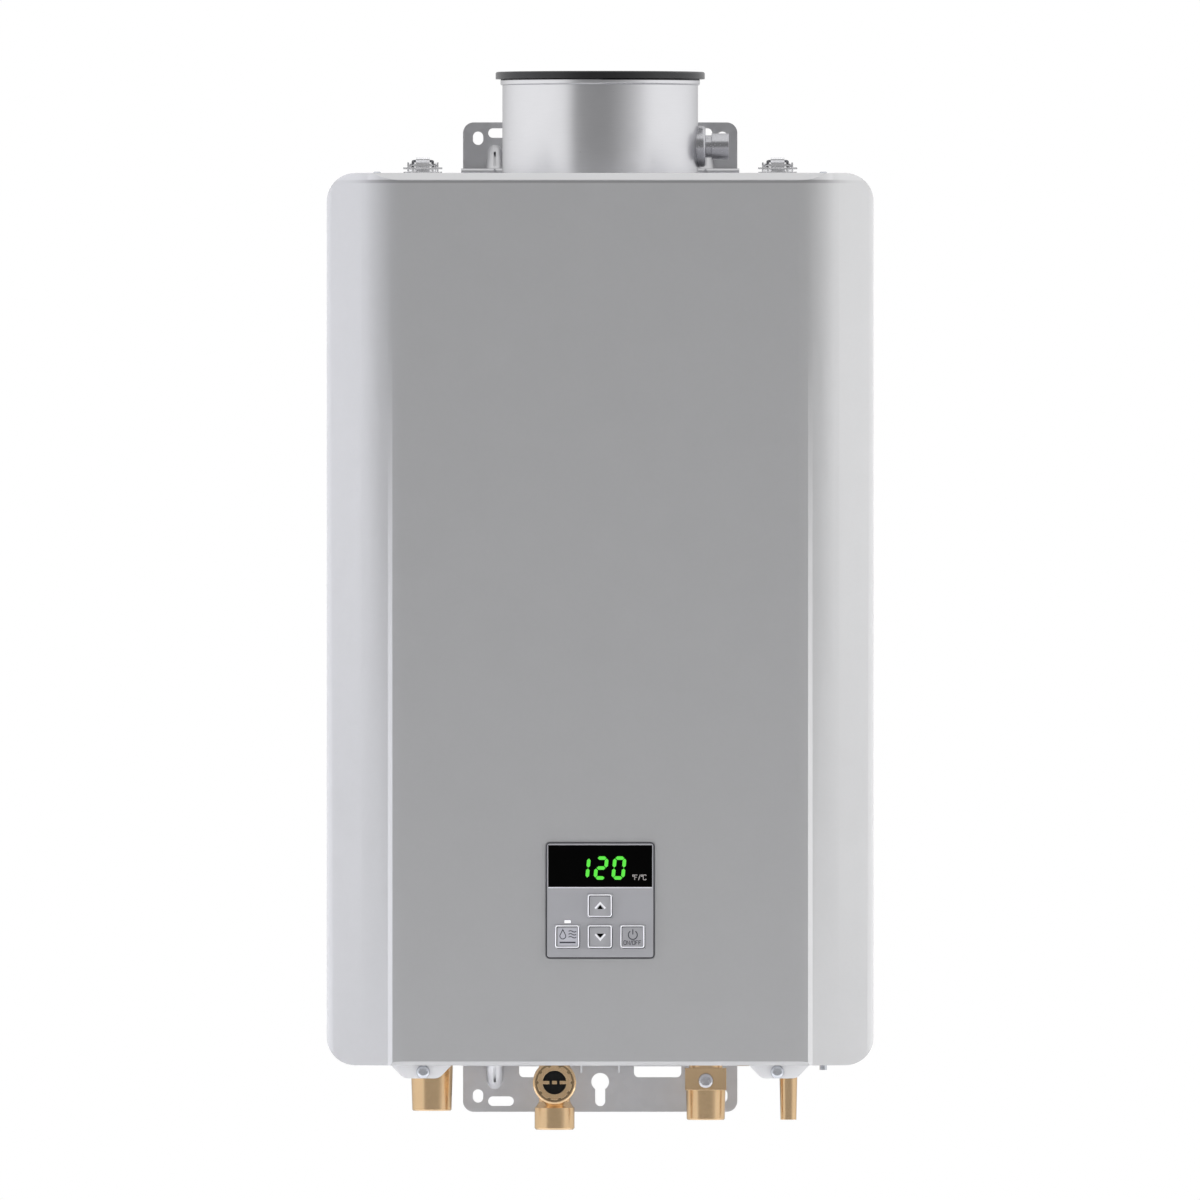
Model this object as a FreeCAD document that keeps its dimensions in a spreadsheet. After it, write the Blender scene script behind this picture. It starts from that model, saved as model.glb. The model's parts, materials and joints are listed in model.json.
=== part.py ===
import FreeCAD, Part
import math
import os
import re
import Sketcher

# Wall-hung tankless gas water heater, as separate pieces.
#
# Frame: millimetres, +Z up, +X to the right seen from the front. The wall is
# the plane y = 0 and the heater's front faces -Y. The origin is the middle of
# the upper wall bracket's two level slots, on the wall.

# Driving dimensions, by alias
SIZES = {
    # Case
    "case_wide": 356,
    "cover_high": 580.3,
    "case_drop": 28.2,
    "corner_round": 18.5,
    "sheet": 1.2,
    "wall_gap": 6,
    "rear_deep": 172,
    "rear_short": 2.5,
    "lip_wide": 12,
    "gasket_thick": 3,
    "gasket_inset": 0.6,
    "cover_deep": 54,
    # Front cover's panel and side facets
    "panel_wide": 270.2,
    "facet_start": 288,
    "facet_fall": 31,
    "facet_blend": 40,
    "edge_round": 9.5,
    "top_bevel": 4.9,
    "bottom_bevel": 2.6,
    "crease_top": 110,
    "step_wide": 3,
    "step_deep": 6,
    # Cover tabs and their screws
    "tab_inset": 41.5,
    "tab_wide": 40,
    "tab_slope": 8.5,
    "tab_drop": 8.9,
    "tab_round": 7,
    "tab_screw_inset": 62.7,
    "tab_screw_drop": 4.5,
    "screw_head": 8.8,
    "screw_head_high": 2.8,
    "screw_shank": 4,
    "nut_wide": 9,
    "nut_high": 7,
    "nut_thick": 3,
    "hole_gap": 0.35,
    # Small case screws
    "roof_screw_inset": 32.6,
    "roof_screw_back": 26,
    "roof_screw_wide": 5.2,
    "roof_screw_high": 1.5,
    "roof_shank": 3,
    "screw_reach": 4,
    "stud_wide": 4.8,
    "stud_long": 6.2,
    # Wall brackets
    "bracket_wide": 179.7,
    "bracket_rise": 7,
    "bracket_thick": 1.6,
    "bracket_reach": 24,
    "bracket_bend": 3,
    "bracket_corner": 7,
    "bead_proud": 4.2,
    "bead_over": 1.2,
    "bead_lift": 0.6,
    "gusset_spacing": 24.6,
    "gusset_thick": 1.2,
    "gusset_high": 9.5,
    "slot_spacing": 130,
    "slot_long": 16.7,
    "slot_wide": 6.2,
    "oval_spacing": 160,
    "oval_high": 8.7,
    "oval_wide": 6.7,
    "oval_drop": 3.4,
    "keyhole": 11.5,
    "keyhole_drop": 12.7,
    "keyhole_slot": 6.5,
    "rib_spacing": 138,
    "rib_wide": 11,
    "rib_top": 7.8,
    "rib_slot": 1.4,
    "rib_slot_long": 9.4,
    "rib_slot_drop": 4.6,
    "rib_slot_deep": 3,
    "ridge_thick": 1,
    "ridge_hollow": 2.5,
    "window_wide": 31,
    "window_high": 7.1,
    "window_spacing": 75.2,
    "window_drop": 15.7,
    "window_round": 3,
    "bracket_screw_x": 22,
    "bracket_screw_y": 15.6,
    "bracket_screw_wide": 8,
    "bracket_screw_high": 0.9,
    # Vent collar
    "flue_y": 95,
    "collar_wide": 127.8,
    "collar_wall": 1.2,
    "collar_high": 62.4,
    "collar_flange": 148,
    "bead_wide": 130.3,
    "bead_high": 4,
    "bead_round": 1.1,
    "ring_wide": 136.6,
    "ring_high": 4.7,
    "flue_wide": 80,
    "flue_wall": 1,
    "flue_rise": 54,
    "port_wide": 26.8,
    "port_reach": 4.9,
    "port_round": 1.8,
    "port_rise": 18.5,
    "stub_wide": 17,
    "stub_neck": 14.6,
    "stub_neck_long": 3.9,
    "stub_long": 15.2,
    "stub_bore": 10,
    # Draw latches
    "latch_inset": 62.5,
    "latch_wide": 25,
    "latch_plate": 1.1,
    "latch_back": 5,
    "latch_long": 32,
    "pivot_up": 5,
    "pivot_pin": 2.4,
    "foot_back": 7.9,
    "foot_up": 3.9,
    "bar_ahead": 13.6,
    "bar_up": 8,
    "wire": 1.8,
    "bail_wide": 12.8,
    "lever_wide": 17,
    "lever_cheek": 0.9,
    "lever_long": 28,
    "ear_thick": 1.2,
    "ear_gap": 0.5,
    "hook_wide": 9,
    "hook_thick": 1.2,
    "hook_high": 10.4,
    "hook_lip": 5.1,
    "roll_wide": 3.3,
    "lens_wide": 15,
    "lens_high": 1.9,
    "hook_room": 2.5,
    "post_x": 6.3,
    "wing_up": 2.7,
    "wing_thick": 1.2,
    "wing_wide": 25.5,
    "wing_deep": 4.9,
    "running": 0.05,
    # Water and gas connections
    "joint_y": 100,
    "nut_step": 4.5,
    "nut_deep": 3,
    "hot_inset": 68.1,
    "hot_wide": 27.3,
    "hot_tip": 25.6,
    "hot_drop": 33.3,
    "hot_rise": 24,
    "water_bore": 17,
    "cold_x": 29.8,
    "cold_wide": 26.1,
    "cold_neck": 20.5,
    "cold_drop": 45.7,
    "cold_foot": 15.3,
    "cold_flare": 3,
    "tip_bevel": 0.7,
    "cold_rise": 16,
    "cap_wide": 28.2,
    "cap_drop": 14.7,
    "cap_thick": 7.7,
    "cap_bore": 21.1,
    "housing_front": 18,
    "housing_back": 14,
    "cap_shank": 12,
    "cap_recess": 15.6,
    "cap_recess_deep": 9,
    "cap_bar": 2.1,
    "cap_stub": 4.4,
    "cap_hub": 3.1,
    "cap_bar_back": 1.2,
    "cap_groove_out": 25.2,
    "cap_groove_deep": 0.9,
    "notch_ring": 22.8,
    "notch_wide": 2.2,
    "notch_deep": 2,
    "cap_seat": 4,
    "groove_back": 3,
    "basket_wide": 16,
    "basket_wall": 0.8,
    "basket_long": 25,
    "basket_hole": 2.4,
    "basket_pitch": 4,
    "ring_cord": 1.6,
    "ring_groove": 17.8,
    "gas_x": 68.9,
    "gas_block": 27,
    "gas_block_top": 5.4,
    "gas_block_high": 14.3,
    "gas_wide": 26.2,
    "gas_tip": 24.9,
    "gas_drop": 39.3,
    "gas_bore": 18,
    "gas_neck": 22,
    "gas_rise": 31,
    "test_screw": 10,
    "test_screw_head": 2.8,
    "test_screw_shank": 5,
    "test_screw_long": 3.5,
    "drain_inset": 55.1,
    "drain_wide": 11.9,
    "drain_tip": 10.4,
    "drain_drop": 39.2,
    "drain_bore": 7,
    "gland_inset": 84,
    "gland_wide": 12,
    "gland_bore": 6.4,
    "gland_drop": 4.6,
    # Controller
    "control_up": 107.3,
    "control_wide": 70.5,
    "control_high": 75.3,
    "control_gap": 0.35,
    "control_round": 2.4,
    "control_proud": 0.6,
    "control_plate": 2.5,
    "control_deep": 14.6,
    "control_wall": 2,
    "control_flange": 4,
    "flange_thick": 1.5,
    "glass_margin": 3,
    "window_glass": 67.5,
    "glass_high": 27.1,
    "glass_thick": 1.2,
    "glass_up": 22.35,
    "button_wide": 15.9,
    "button_high": 15,
    "button_proud": 1.1,
    "button_gap": 0.35,
    "button_travel": 0.8,
    "button_flange": 1,
    "button_stem": 3,
    "stem_wide": 5,
    "button_rim": 1.2,
    "button_dish": 0.4,
    "rim_step": 0.9,
    "switch_wide": 6,
    "switch_plunger": 3.4,
    "button_pitch_x": 21.2,
    "button_pitch_z": 20.1,
    "button_drop": 3.6,
    "board_thick": 1.6,
    "switch_high": 4.2,
    "led_wide": 4,
    "led_high": 1.8,
    "led_drop": 13.8,
    # Heat exchanger and burner
    "core_wide": 190,
    "core_deep": 130,
    "core_top": 66.8,
    "core_high": 150,
    "hood_high": 20,
    "fin_thick": 0.6,
    "fin_margin": 19.6,
    "fin_count": 35,
    "fin_high": 38,
    "tube": 16,
    "tube_bore": 13,
    "tube_pitch": 28,
    "tube_drop": 25,
    "tube_bend": 20,
    "tube_short": 3,
    "foot_wide": 16,
    "foot_high": 20,
    "neck_high": 14,
    "burner_high": 90,
    "bar_count": 12,
    "bar_margin": 7.6,
    "bar_thick": 6,
    "bar_high": 38,
    "bar_rise": 35,
    "nozzle": 5,
    "manifold_high": 22,
    "manifold_deep": 12,
    "manifold_rise": 13,
    "manifold_gap": 4,
    "manifold_bore": 7,
    "rod_pitch": 20,
    "rod_drop": 10,
    "sleeve_wide": 7,
    "sleeve_long": 20,
    "sleeve_out": 12,
    "electrode_wide": 2,
    "electrode_long": 36,
    # Blower
    "blower_x": 15,
    "blower_wide": 116,
    "blower_deep": 65,
    "blower_drop": 75,
    "blower_outlet": 38,
    "inlet_wide": 56,
    "fan_wide": 88,
    "fan_deep": 45,
    "fan_blades": 24,
    "blade_long": 9,
    "blade_thick": 1,
    "scroll_wall": 1.5,
    "fan_shaft": 8,
    "motor_wide": 56,
    "motor_deep": 35,
    # Gas valve
    "valve_wide": 60,
    "valve_deep": 64,
    "valve_high": 95,
    "can_rise": 30,
    "bore_in": 12,
    "plunger_in": 8,
    "can_wide": 30,
    "can_long": 41,
    "plunger": 12,
    "plunger_long": 36,
    "shut_travel": 2,
    "mod_travel": 4,
    "can_pitch": 40,
    # Water side
    "sensor_high": 40,
    "sensor_wide": 27,
    "turbine_wide": 16.2,
    "turbine_pin": 2,
    "hub_wide": 5,
    "bridge_high": 3,
    "bridge_thick": 2,
    "end_high": 4,
    "end_step": 3,
    "mixer_wide": 40,
    "mixer_deep": 44,
    "mixer_high": 45,
    "spindle": 16,
    "spindle_stem": 6,
    "servo_wide": 28,
    "servo_deep": 24,
    "pipe_bend": 18,
    # Electrics
    "spark_gap": 10,
    "spark_wide": 50,
    "spark_deep": 30,
    "spark_high": 40,
    "spark_drop": 15,
    "board_deep": 120,
    "board_high": 120,
    "standoff_wide": 6,
    "standoff_long": 10,
    "standoff_inset": 10,
    # Risers and what is clipped to them
    "riser_gap": 25,
    "heater_wide": 36,
    "heater_deep": 18,
    "heater_high": 24,
    "bulb_wide": 6,
    "bulb_long": 20,
}

V = FreeCAD.Vector
TURNS = {
    "X": FreeCAD.Rotation(V(0, 1, 0), 90),
    "Y": FreeCAD.Rotation(V(1, 0, 0), -90),
    "Z": FreeCAD.Rotation(),
}
FACING_FRONT = FreeCAD.Rotation(V(1, 0, 0), 90)
WORD = re.compile(r"[a-z][a-z_]*")

# Levels that many pieces share, as expressions of the driving dimensions
TOP = "(-case_drop)"
COVER_LOW = "(-case_drop - cover_high)"
REAR_LOW = "(-case_drop - cover_high + rear_short)"
BACK = "(-wall_gap)"
INNER_BACK = "(-wall_gap - sheet)"
SEAM = "(-wall_gap - rear_deep)"
COVER_BACK = "(-wall_gap - rear_deep - gasket_thick)"
FRONT = "(-wall_gap - rear_deep - gasket_thick - cover_deep)"
CORE_TOP = "(-case_drop - core_top)"
CORE_LOW = "(-case_drop - core_top - core_high)"
BURNER_LOW = "(-case_drop - core_top - core_high - burner_high)"
HOOD_TOP = "(-case_drop - core_top + hood_high)"
TUBE_Z = "(-case_drop - core_top - tube_drop)"
BLOWER_Z = "(-case_drop - core_top - core_high - burner_high - blower_drop)"
VALVE_LOW = f"({REAR_LOW} + gas_rise)"
SENSOR_LOW = f"({REAR_LOW} + cold_rise)"
MIXER_LOW = f"({REAR_LOW} + cold_rise + sensor_high)"
MIXER_TOP = f"({REAR_LOW} + cold_rise + sensor_high + mixer_high)"
CAP_Z = f"({REAR_LOW} - cap_drop)"
CONTROL_Z = f"({COVER_LOW} + control_up)"
CONTROL_FACE = f"({FRONT} - control_proud)"
ROOF_SCREW_X = "(case_wide / 2 - roof_screw_inset)"
LATCH_X = "(case_wide / 2 - latch_inset)"
HOT_X = "(case_wide / 2 - hot_inset)"
DRAIN_X = "(case_wide / 2 - drain_inset)"
GLAND_X = "(case_wide / 2 - gland_inset)"
TAB_OUTER = "(case_wide / 2 - tab_inset)"
TAB_INNER = "(case_wide / 2 - tab_inset - tab_wide)"
TAB_SCREW_X = "(case_wide / 2 - tab_screw_inset)"
TUBE_END = "(core_wide / 2 + tube_bend - tube_short)"
RISER_X = "(core_wide / 2 + tube_bend + riser_gap)"
BAR_PITCH = "((core_wide - 2 * sheet - bar_margin) / bar_count)"
FIN_PITCH = "((core_wide - 2 * sheet - fin_margin) / fin_count)"
# How much shorter a 45 degree bevel gets for each unit that its faces are drawn in
BEVEL_CUT = 2 - math.sqrt(2)
PLATE_BACK = f"({FRONT} - control_proud + control_plate)"

doc = FreeCAD.newDocument("TanklessWaterHeater")
sheet = doc.addObject("Spreadsheet::Sheet", "Sizes")
nodes = []


def fill_sheet():
    """Put every driving dimension in its own cell, under its alias."""
    for row, (alias, number) in enumerate(SIZES.items(), start=1):
        sheet.set(f"A{row}", alias)
        sheet.set(f"B{row}", str(number))
        sheet.setAlias(f"B{row}", alias)
    doc.recompute()


def bound(text):
    """The expression with each alias pointed at its cell."""
    return WORD.sub(lambda word: "Sizes." + word.group() if word.group() in SIZES else word.group(), str(text))


def value(text):
    """What an expression of the driving dimensions comes to, in millimetres."""
    return float(sheet.evalExpression(bound(text)))


def bind(thing, **sizes):
    for name, text in sizes.items():
        thing.setExpression(name, bound(text))


def place(thing, x, y, z):
    for axis, text in (("x", x), ("y", y), ("z", z)):
        thing.setExpression(f"Placement.Base.{axis}", bound(text))
    return thing


def node(label, thing):
    """Name a finished piece, so that it is written out."""
    thing.Label = label
    nodes.append(thing)
    return thing


# Solids from primitives and booleans


def block(name, xs, ys, zs):
    """Box between pairs of X, Y and Z levels."""
    made = doc.addObject("Part::Box", name)
    bind(made, Length=f"({xs[1]}) - ({xs[0]})", Width=f"({ys[1]}) - ({ys[0]})", Height=f"({zs[1]}) - ({zs[0]})")
    return place(made, xs[0], ys[0], zs[0])


def rod(name, axis, start, width, length):
    """Round bar of a given diameter that runs from a point along +X, +Y or +Z."""
    made = doc.addObject("Part::Cylinder", name)
    made.Placement = FreeCAD.Placement(V(), TURNS[axis])
    bind(made, Radius=f"({width}) / 2", Height=length)
    return place(made, *start)


def fuse(name, *parts):
    made = doc.addObject("Part::MultiFuse", name)
    made.Shapes = list(parts)
    return made


def common(name, *parts):
    made = doc.addObject("Part::MultiCommon", name)
    made.Shapes = list(parts)
    return made


def group(name, *parts):
    """Several separate solids that share one node."""
    made = doc.addObject("Part::Compound", name)
    made.Links = list(parts)
    return made


def cut(name, base, *tools):
    made = doc.addObject("Part::Cut", name)
    made.Base = base
    made.Tool = tools[0] if len(tools) == 1 else fuse(name + "_tools", *tools)
    return made


def shaped(name, shape):
    """A piece whose shape is worked out from the sheet's values in code."""
    made = doc.addObject("Part::Feature", name)
    made.Shape = shape
    made.Placement = FreeCAD.Placement(V(), FreeCAD.Rotation())
    return made


# Bodies from sketches and features


def sketch(owner, plane, level="0"):
    """Sketch on one of the body's origin planes, moved along its normal."""
    made = owner.newObject("Sketcher::SketchObject", owner.Name + "_sketch")
    base = [item for item in owner.Origin.OriginFeatures if item.Role == plane][0]
    made.AttachmentSupport = [(base, "")]
    made.MapMode = "FlatFace"
    made.setExpression("AttachmentOffset.Base.z", bound(level))
    return made


def outline(drawn, corners):
    """Closed polygon, each corner held at two expressions."""
    count = len(corners)
    first = drawn.GeometryCount
    turn = 2 * math.pi / count
    spots = [V(10 * math.cos(turn * k), 10 * math.sin(turn * k), 0) for k in range(count)]
    drawn.addGeometry([Part.LineSegment(spots[k], spots[(k + 1) % count]) for k in range(count)], False)
    for k in range(count):
        drawn.addConstraint(Sketcher.Constraint("Coincident", first + k, 2, first + (k + 1) % count, 1))
    for k, (across, up) in enumerate(corners):
        for kind, now, text in (("DistanceX", spots[k].x, across), ("DistanceY", spots[k].y, up)):
            held = drawn.addConstraint(Sketcher.Constraint(kind, first + k, 1, now))
            drawn.setExpression(f"Constraints[{held}]", bound(text))


def circle(drawn, across, up, width):
    """Circle of a given diameter, held at two expressions."""
    index = drawn.addGeometry(Part.Circle(V(5, 5, 0), V(0, 0, 1), 3), False)
    for rule, text in (
        (Sketcher.Constraint("Radius", index, 3.0), f"({width}) / 2"),
        (Sketcher.Constraint("DistanceX", index, 3, 5.0), across),
        (Sketcher.Constraint("DistanceY", index, 3, 5.0), up),
    ):
        held = drawn.addConstraint(rule)
        drawn.setExpression(f"Constraints[{held}]", bound(text))


def pad(owner, profile, length):
    made = owner.newObject("PartDesign::Pad", owner.Name + "_pad")
    made.Profile = profile
    bind(made, Length=length)
    return made


def prism(name, plane, level, corners, length):
    """Polygon drawn on a plane at a level, and padded along the plane's normal."""
    made = doc.addObject("PartDesign::Body", name)
    drawn = sketch(made, plane, level)
    outline(drawn, corners)
    pad(made, drawn, length)
    return made


def turned(name, corners, place_at, turn=None):
    """Round piece: a half profile of (radius, height) corners, turned about its axis."""
    made = doc.addObject("PartDesign::Body", name)
    drawn = sketch(made, "XZ_Plane")
    outline(drawn, corners)
    spun = made.newObject("PartDesign::Revolution", name + "_turn")
    spun.Profile = drawn
    spun.ReferenceAxis = (drawn, ["V_Axis"])
    spun.Angle = 360
    if turn is not None:
        made.Placement = FreeCAD.Placement(V(), turn)
    return place(made, *place_at)


def rounded(owner, radius, wanted):
    """Fillet the edges of a body that a test on the edge picks out."""
    doc.recompute()
    tip = owner.Tip
    names = [f"Edge{k}" for k, edge in enumerate(tip.Shape.Edges, start=1) if wanted(edge)]
    made = owner.newObject("PartDesign::Fillet", owner.Name + "_round")
    made.Base = (tip, names)
    bind(made, Radius=radius)
    return owner


def runs_along(edge, axis):
    """Whether a straight edge runs along an axis, given as 0, 1 or 2."""
    if edge.Curve.TypeId != "Part::GeomLine":
        return False
    return abs(edge.tangentAt(edge.FirstParameter)[axis]) > 0.999


def edge_at(edge, axis, level):
    """Whether an edge's middle lies at a level of an axis."""
    return abs(edge.BoundBox.Center[axis] - level) < 0.01


def rounded_slab(name, half, low, high, level, deep, radius):
    """Slab facing the front, with four rounded corners; level counts forward from the wall."""
    corners = [(f"-({half})", low), (half, low), (half, high), (f"-({half})", high)]
    made = prism(name, "XZ_Plane", level, corners, deep)
    return rounded(made, radius, lambda edge: runs_along(edge, 1))


# Paths and tubes


def bent_wire(points, radii):
    """Straight runs joined by tangent arcs, one radius for each inner point."""
    edges = []
    here = points[0]
    for k in range(1, len(points) - 1):
        before = (points[k - 1] - points[k]).normalize()
        after = (points[k + 1] - points[k]).normalize()
        half = before.getAngle(after) / 2
        back = radii[k - 1] / math.tan(half)
        start = points[k] + before * back
        end = points[k] + after * back
        inward = (before + after).normalize()
        middle = points[k] + inward * (radii[k - 1] / math.sin(half) - radii[k - 1])
        if (start - here).Length > 1e-6:
            edges.append(Part.LineSegment(here, start).toShape())
        edges.append(Part.Arc(start, middle, end).toShape())
        here = end
    edges.append(Part.LineSegment(here, points[-1]).toShape())
    return Part.Wire(edges)


def swept(path, width):
    """Solid round bar along a path."""
    first = path.Edges[0]
    ring = Part.Wire(Part.makeCircle(width / 2, first.valueAt(first.FirstParameter), first.tangentAt(0)))
    return path.makePipeShell([ring], True, False)


def pipe(name, points, bends):
    """Bent water or gas tube with its bore."""
    path = bent_wire(points, bends)
    return shaped(name, swept(path, value("tube")).cut(swept(path, value("tube_bore"))))


# Case


def tab(name, side, level, top):
    """Trapezoid tab below the cover's lower edge, with its screw hole; level counts forward."""
    corners = [
        (f"{side} * {TAB_OUTER}", top),
        (f"{side} * {TAB_OUTER}", COVER_LOW),
        (f"{side} * ({TAB_OUTER} - tab_slope)", f"{COVER_LOW} - tab_drop"),
        (f"{side} * ({TAB_INNER} + tab_slope)", f"{COVER_LOW} - tab_drop"),
        (f"{side} * {TAB_INNER}", COVER_LOW),
        (f"{side} * {TAB_INNER}", top),
    ]
    plate = prism(name + "_plate", "XZ_Plane", level, corners, "sheet")
    foot = value(f"{COVER_LOW} - tab_drop")
    rounded(plate, "tab_round", lambda edge: runs_along(edge, 1) and edge_at(edge, 2, foot))
    start = (f"{side} * {TAB_SCREW_X}", f"-({level}) - sheet - 1", f"{COVER_LOW} - tab_screw_drop")
    hole = rod(name + "_hole", "Y", start, "screw_shank + 2 * hole_gap", "sheet + 2")
    return cut(name, plate, hole)


def drop_hole(name, x, y, width):
    """Hole tool through the case's floor."""
    return rod(name, "Z", (x, y, f"{REAR_LOW} - 1"), f"({width}) + 2 * hole_gap", "sheet + 2")


def rear_case():
    """Sheet pan that holds everything: welded back, roof and side panels and a floor, with a rim for the gasket."""
    outer = rounded_slab("rear_outer", "case_wide / 2", REAR_LOW, TOP, "wall_gap", "rear_deep", "corner_round")
    inner = rounded_slab(
        "rear_inner",
        "case_wide / 2 - sheet",
        f"{REAR_LOW} + sheet",
        f"{TOP} - sheet",
        "wall_gap + sheet",
        "rear_deep - 2 * sheet",
        "corner_round - sheet",
    )
    mouth = rounded_slab(
        "rear_mouth",
        "case_wide / 2 - lip_wide",
        f"{REAR_LOW} + lip_wide",
        f"{TOP} - lip_wide",
        "wall_gap + rear_deep - 2 * sheet",
        "3 * sheet",
        "corner_round - lip_wide",
    )
    collar = rod("collar_hole", "Z", ("0", "-flue_y", f"{TOP} - sheet - 1"), "collar_wide + 2 * hole_gap", "sheet + 2")
    holes = [
        drop_hole("hot_hole", f"-{HOT_X}", "-joint_y", "hot_wide"),
        drop_hole("cold_hole", "-cold_x", "-joint_y", "cold_neck"),
        drop_hole("gas_hole", "gas_x", "-joint_y", "gas_neck"),
        drop_hole("drain_hole", DRAIN_X, "-joint_y", "drain_wide"),
        drop_hole("gland_hole", GLAND_X, "-joint_y / 2", "gland_wide"),
    ]
    for side in (-1, 1):
        x = f"{side} * bracket_screw_x"
        y = "-bracket_screw_y"
        holes.append(rod("bracket_screw_hole", "Z", (x, y, f"{TOP} - sheet - 1"), "screw_shank", "sheet + 2"))
        holes.append(rod("bracket_screw_hole", "Z", (x, y, f"{REAR_LOW} - 1"), "screw_shank", "sheet + 2"))
        start = (f"{side} * {ROOF_SCREW_X}", f"{SEAM} + roof_screw_back", f"{TOP} - sheet - 1")
        holes.append(rod("roof_screw_hole", "Z", start, "roof_shank", "sheet + 2"))
    shell = cut("rear_shell", outer, inner, mouth, collar, *holes)
    plate = block(
        "plate_region",
        ("-case_wide / 2 - 1", "case_wide / 2 + 1"),
        ("-wall_gap - sheet", "-wall_gap + 1"),
        (f"{REAR_LOW} - 1", f"{TOP} + 1"),
    )
    panels = [common("back_panel", shell, plate)]
    band = cut("case_band", shell, plate)
    depth = (f"{SEAM} - 1", "-wall_gap + 1")
    middle = f"({TOP} + {REAR_LOW}) / 2"
    seam_x = "case_wide / 2 - corner_round"
    roof = block("roof_region", (f"-({seam_x})", seam_x), depth, (middle, f"{TOP} + 1"))
    floor = block("floor_region", (f"-({seam_x})", seam_x), depth, (f"{REAR_LOW} - 1", middle))
    panels.append(common("roof_panel", band, roof))
    for side in (-1, 1):
        ends = (f"{side} * ({seam_x})", f"{side} * (case_wide / 2 + 1)")
        region = block("side_region", ends if side > 0 else ends[::-1], depth, (f"{REAR_LOW} - 1", f"{TOP} + 1"))
        panels.append(common("side_panel", band, region))
    tabs = [tab(f"rear_tab_{side + 1}", side, "wall_gap + rear_deep - sheet", f"{REAR_LOW} + sheet") for side in (-1, 1)]
    node("case_floor", fuse("floor_panel", common("floor_plate", band, floor), *tabs))
    return node("rear_case", group("case_panels", *panels))


def cover_gasket():
    """Flat rubber loop between the rear case's rim and the front cover's."""
    outer = rounded_slab(
        "gasket_outer",
        "case_wide / 2 - gasket_inset",
        f"{REAR_LOW} + gasket_inset",
        f"{TOP} - gasket_inset",
        "wall_gap + rear_deep",
        "gasket_thick",
        "corner_round - gasket_inset",
    )
    inner = rounded_slab(
        "gasket_inner",
        "case_wide / 2 - lip_wide",
        f"{REAR_LOW} + lip_wide",
        f"{TOP} - lip_wide",
        "wall_gap + rear_deep - 1",
        "gasket_thick + 2",
        "corner_round - lip_wide",
    )
    return node("cover_gasket", cut("gasket_loop", outer, inner))


def crossing(start, way, other, other_way):
    """Where two plan lines meet, each given by a point and a direction."""
    gap = other - start
    across = way.x * other_way.y - way.y * other_way.x
    return start + way * ((gap.x * other_way.y - gap.y * other_way.x) / across)


def inward(way):
    """Unit plan vector across a direction, towards the case."""
    return V(-way.y, way.x, 0).normalize()


def cover_plan(inset, stepped):
    """Plan edges of the cover's right half, from the middle to the back, drawn in by an inset.

    The plain plan has the front, the blend's arc, the facet and the rounded side
    edge. The stepped one leaves the arc at the panel's edge, drops by the step,
    and then runs straight to the side. Both have as many edges, so that a ruled
    loft joins them one to one.
    """
    front = value(FRONT)
    half = value("case_wide / 2")
    radius = value("facet_blend")
    edge = V(half, front + value("facet_fall"), 0)
    start = V(value("facet_start / 2"), front, 0)
    facet = edge - start
    slope = math.atan2(facet.y, facet.x)
    centre = V(start.x - radius * math.tan(slope / 2), front + radius, 0)
    reach = radius - inset

    def on_arc(x):
        return V(x, centre.y - math.sqrt(reach**2 - (x - centre.x) ** 2), 0)

    panel = value("panel_wide / 2")
    top = V(panel, centre.y - math.sqrt(radius**2 - (panel - centre.x) ** 2), 0)
    foot = V(panel + value("step_wide"), front + value("step_deep"), 0)
    drop = foot - top
    run = edge - foot
    drop_start = top + inward(drop) * inset
    run_start = foot + inward(run) * inset
    away = centre - drop_start
    along = drop.normalize()
    back_up = away.dot(along)
    leave = drop_start + along * (back_up - math.sqrt(back_up**2 - away.dot(away) + reach**2))
    foot_in = crossing(drop_start, drop, run_start, run)
    leave.z = 0
    end = V(centre.x + reach * math.sin(slope), centre.y - reach * math.cos(slope), 0)
    side = V(half - inset, 0, 0)
    if stepped:
        line, line_way = run_start, run.normalize()
    else:
        line, line_way = end, V(math.cos(slope), math.sin(slope), 0)
    corner = crossing(line, line_way, side, V(0, 1, 0))
    turn = value("edge_round") - inset
    back_off = turn * math.tan((math.pi / 2 - math.atan2(line_way.y, line_way.x)) / 2)
    arc_start = corner - line_way * back_off
    arc_end = corner + V(0, back_off, 0)
    hub = arc_end - V(turn, 0, 0)
    arc_middle = hub + (corner - hub).normalize() * turn
    back = V(side.x, value(COVER_BACK) - inset, 0)

    def arc(a, b):
        return ("arc", a, on_arc((a.x + b.x) / 2), b)

    middle = V(centre.x, front + inset, 0)
    edges = [("line", V(0, front + inset, 0), middle), arc(middle, leave)]
    if stepped:
        joint = crossing(line, line_way, V(end.x, 0, 0), V(0, 1, 0))
        edges += [("line", leave, foot_in), ("line", foot_in, joint), ("line", joint, arc_start)]
    else:
        split = on_arc(foot_in.x)
        edges += [arc(leave, split), arc(split, end), ("line", end, arc_start)]
    return edges + [("arc", arc_start, arc_middle, arc_end), ("line", arc_end, back)]


def cover_wire(inset, stepped, level):
    """Closed plan wire of the whole cover at a level."""
    right = cover_plan(inset, stepped)
    left = [(kind, *[V(-point.x, point.y, 0) for point in points[::-1]]) for kind, *points in right[::-1]]
    edges = []
    for kind, *points in left + right:
        lifted = [point + V(0, 0, level) for point in points]
        edges.append(Part.Arc(*lifted).toShape() if kind == "arc" else Part.LineSegment(*lifted).toShape())
    ends = [V(side * right[-1][-1].x, right[-1][-1].y, level) for side in (1, -1)]
    edges.append(Part.LineSegment(*ends).toShape())
    return Part.Wire(edges)


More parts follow.
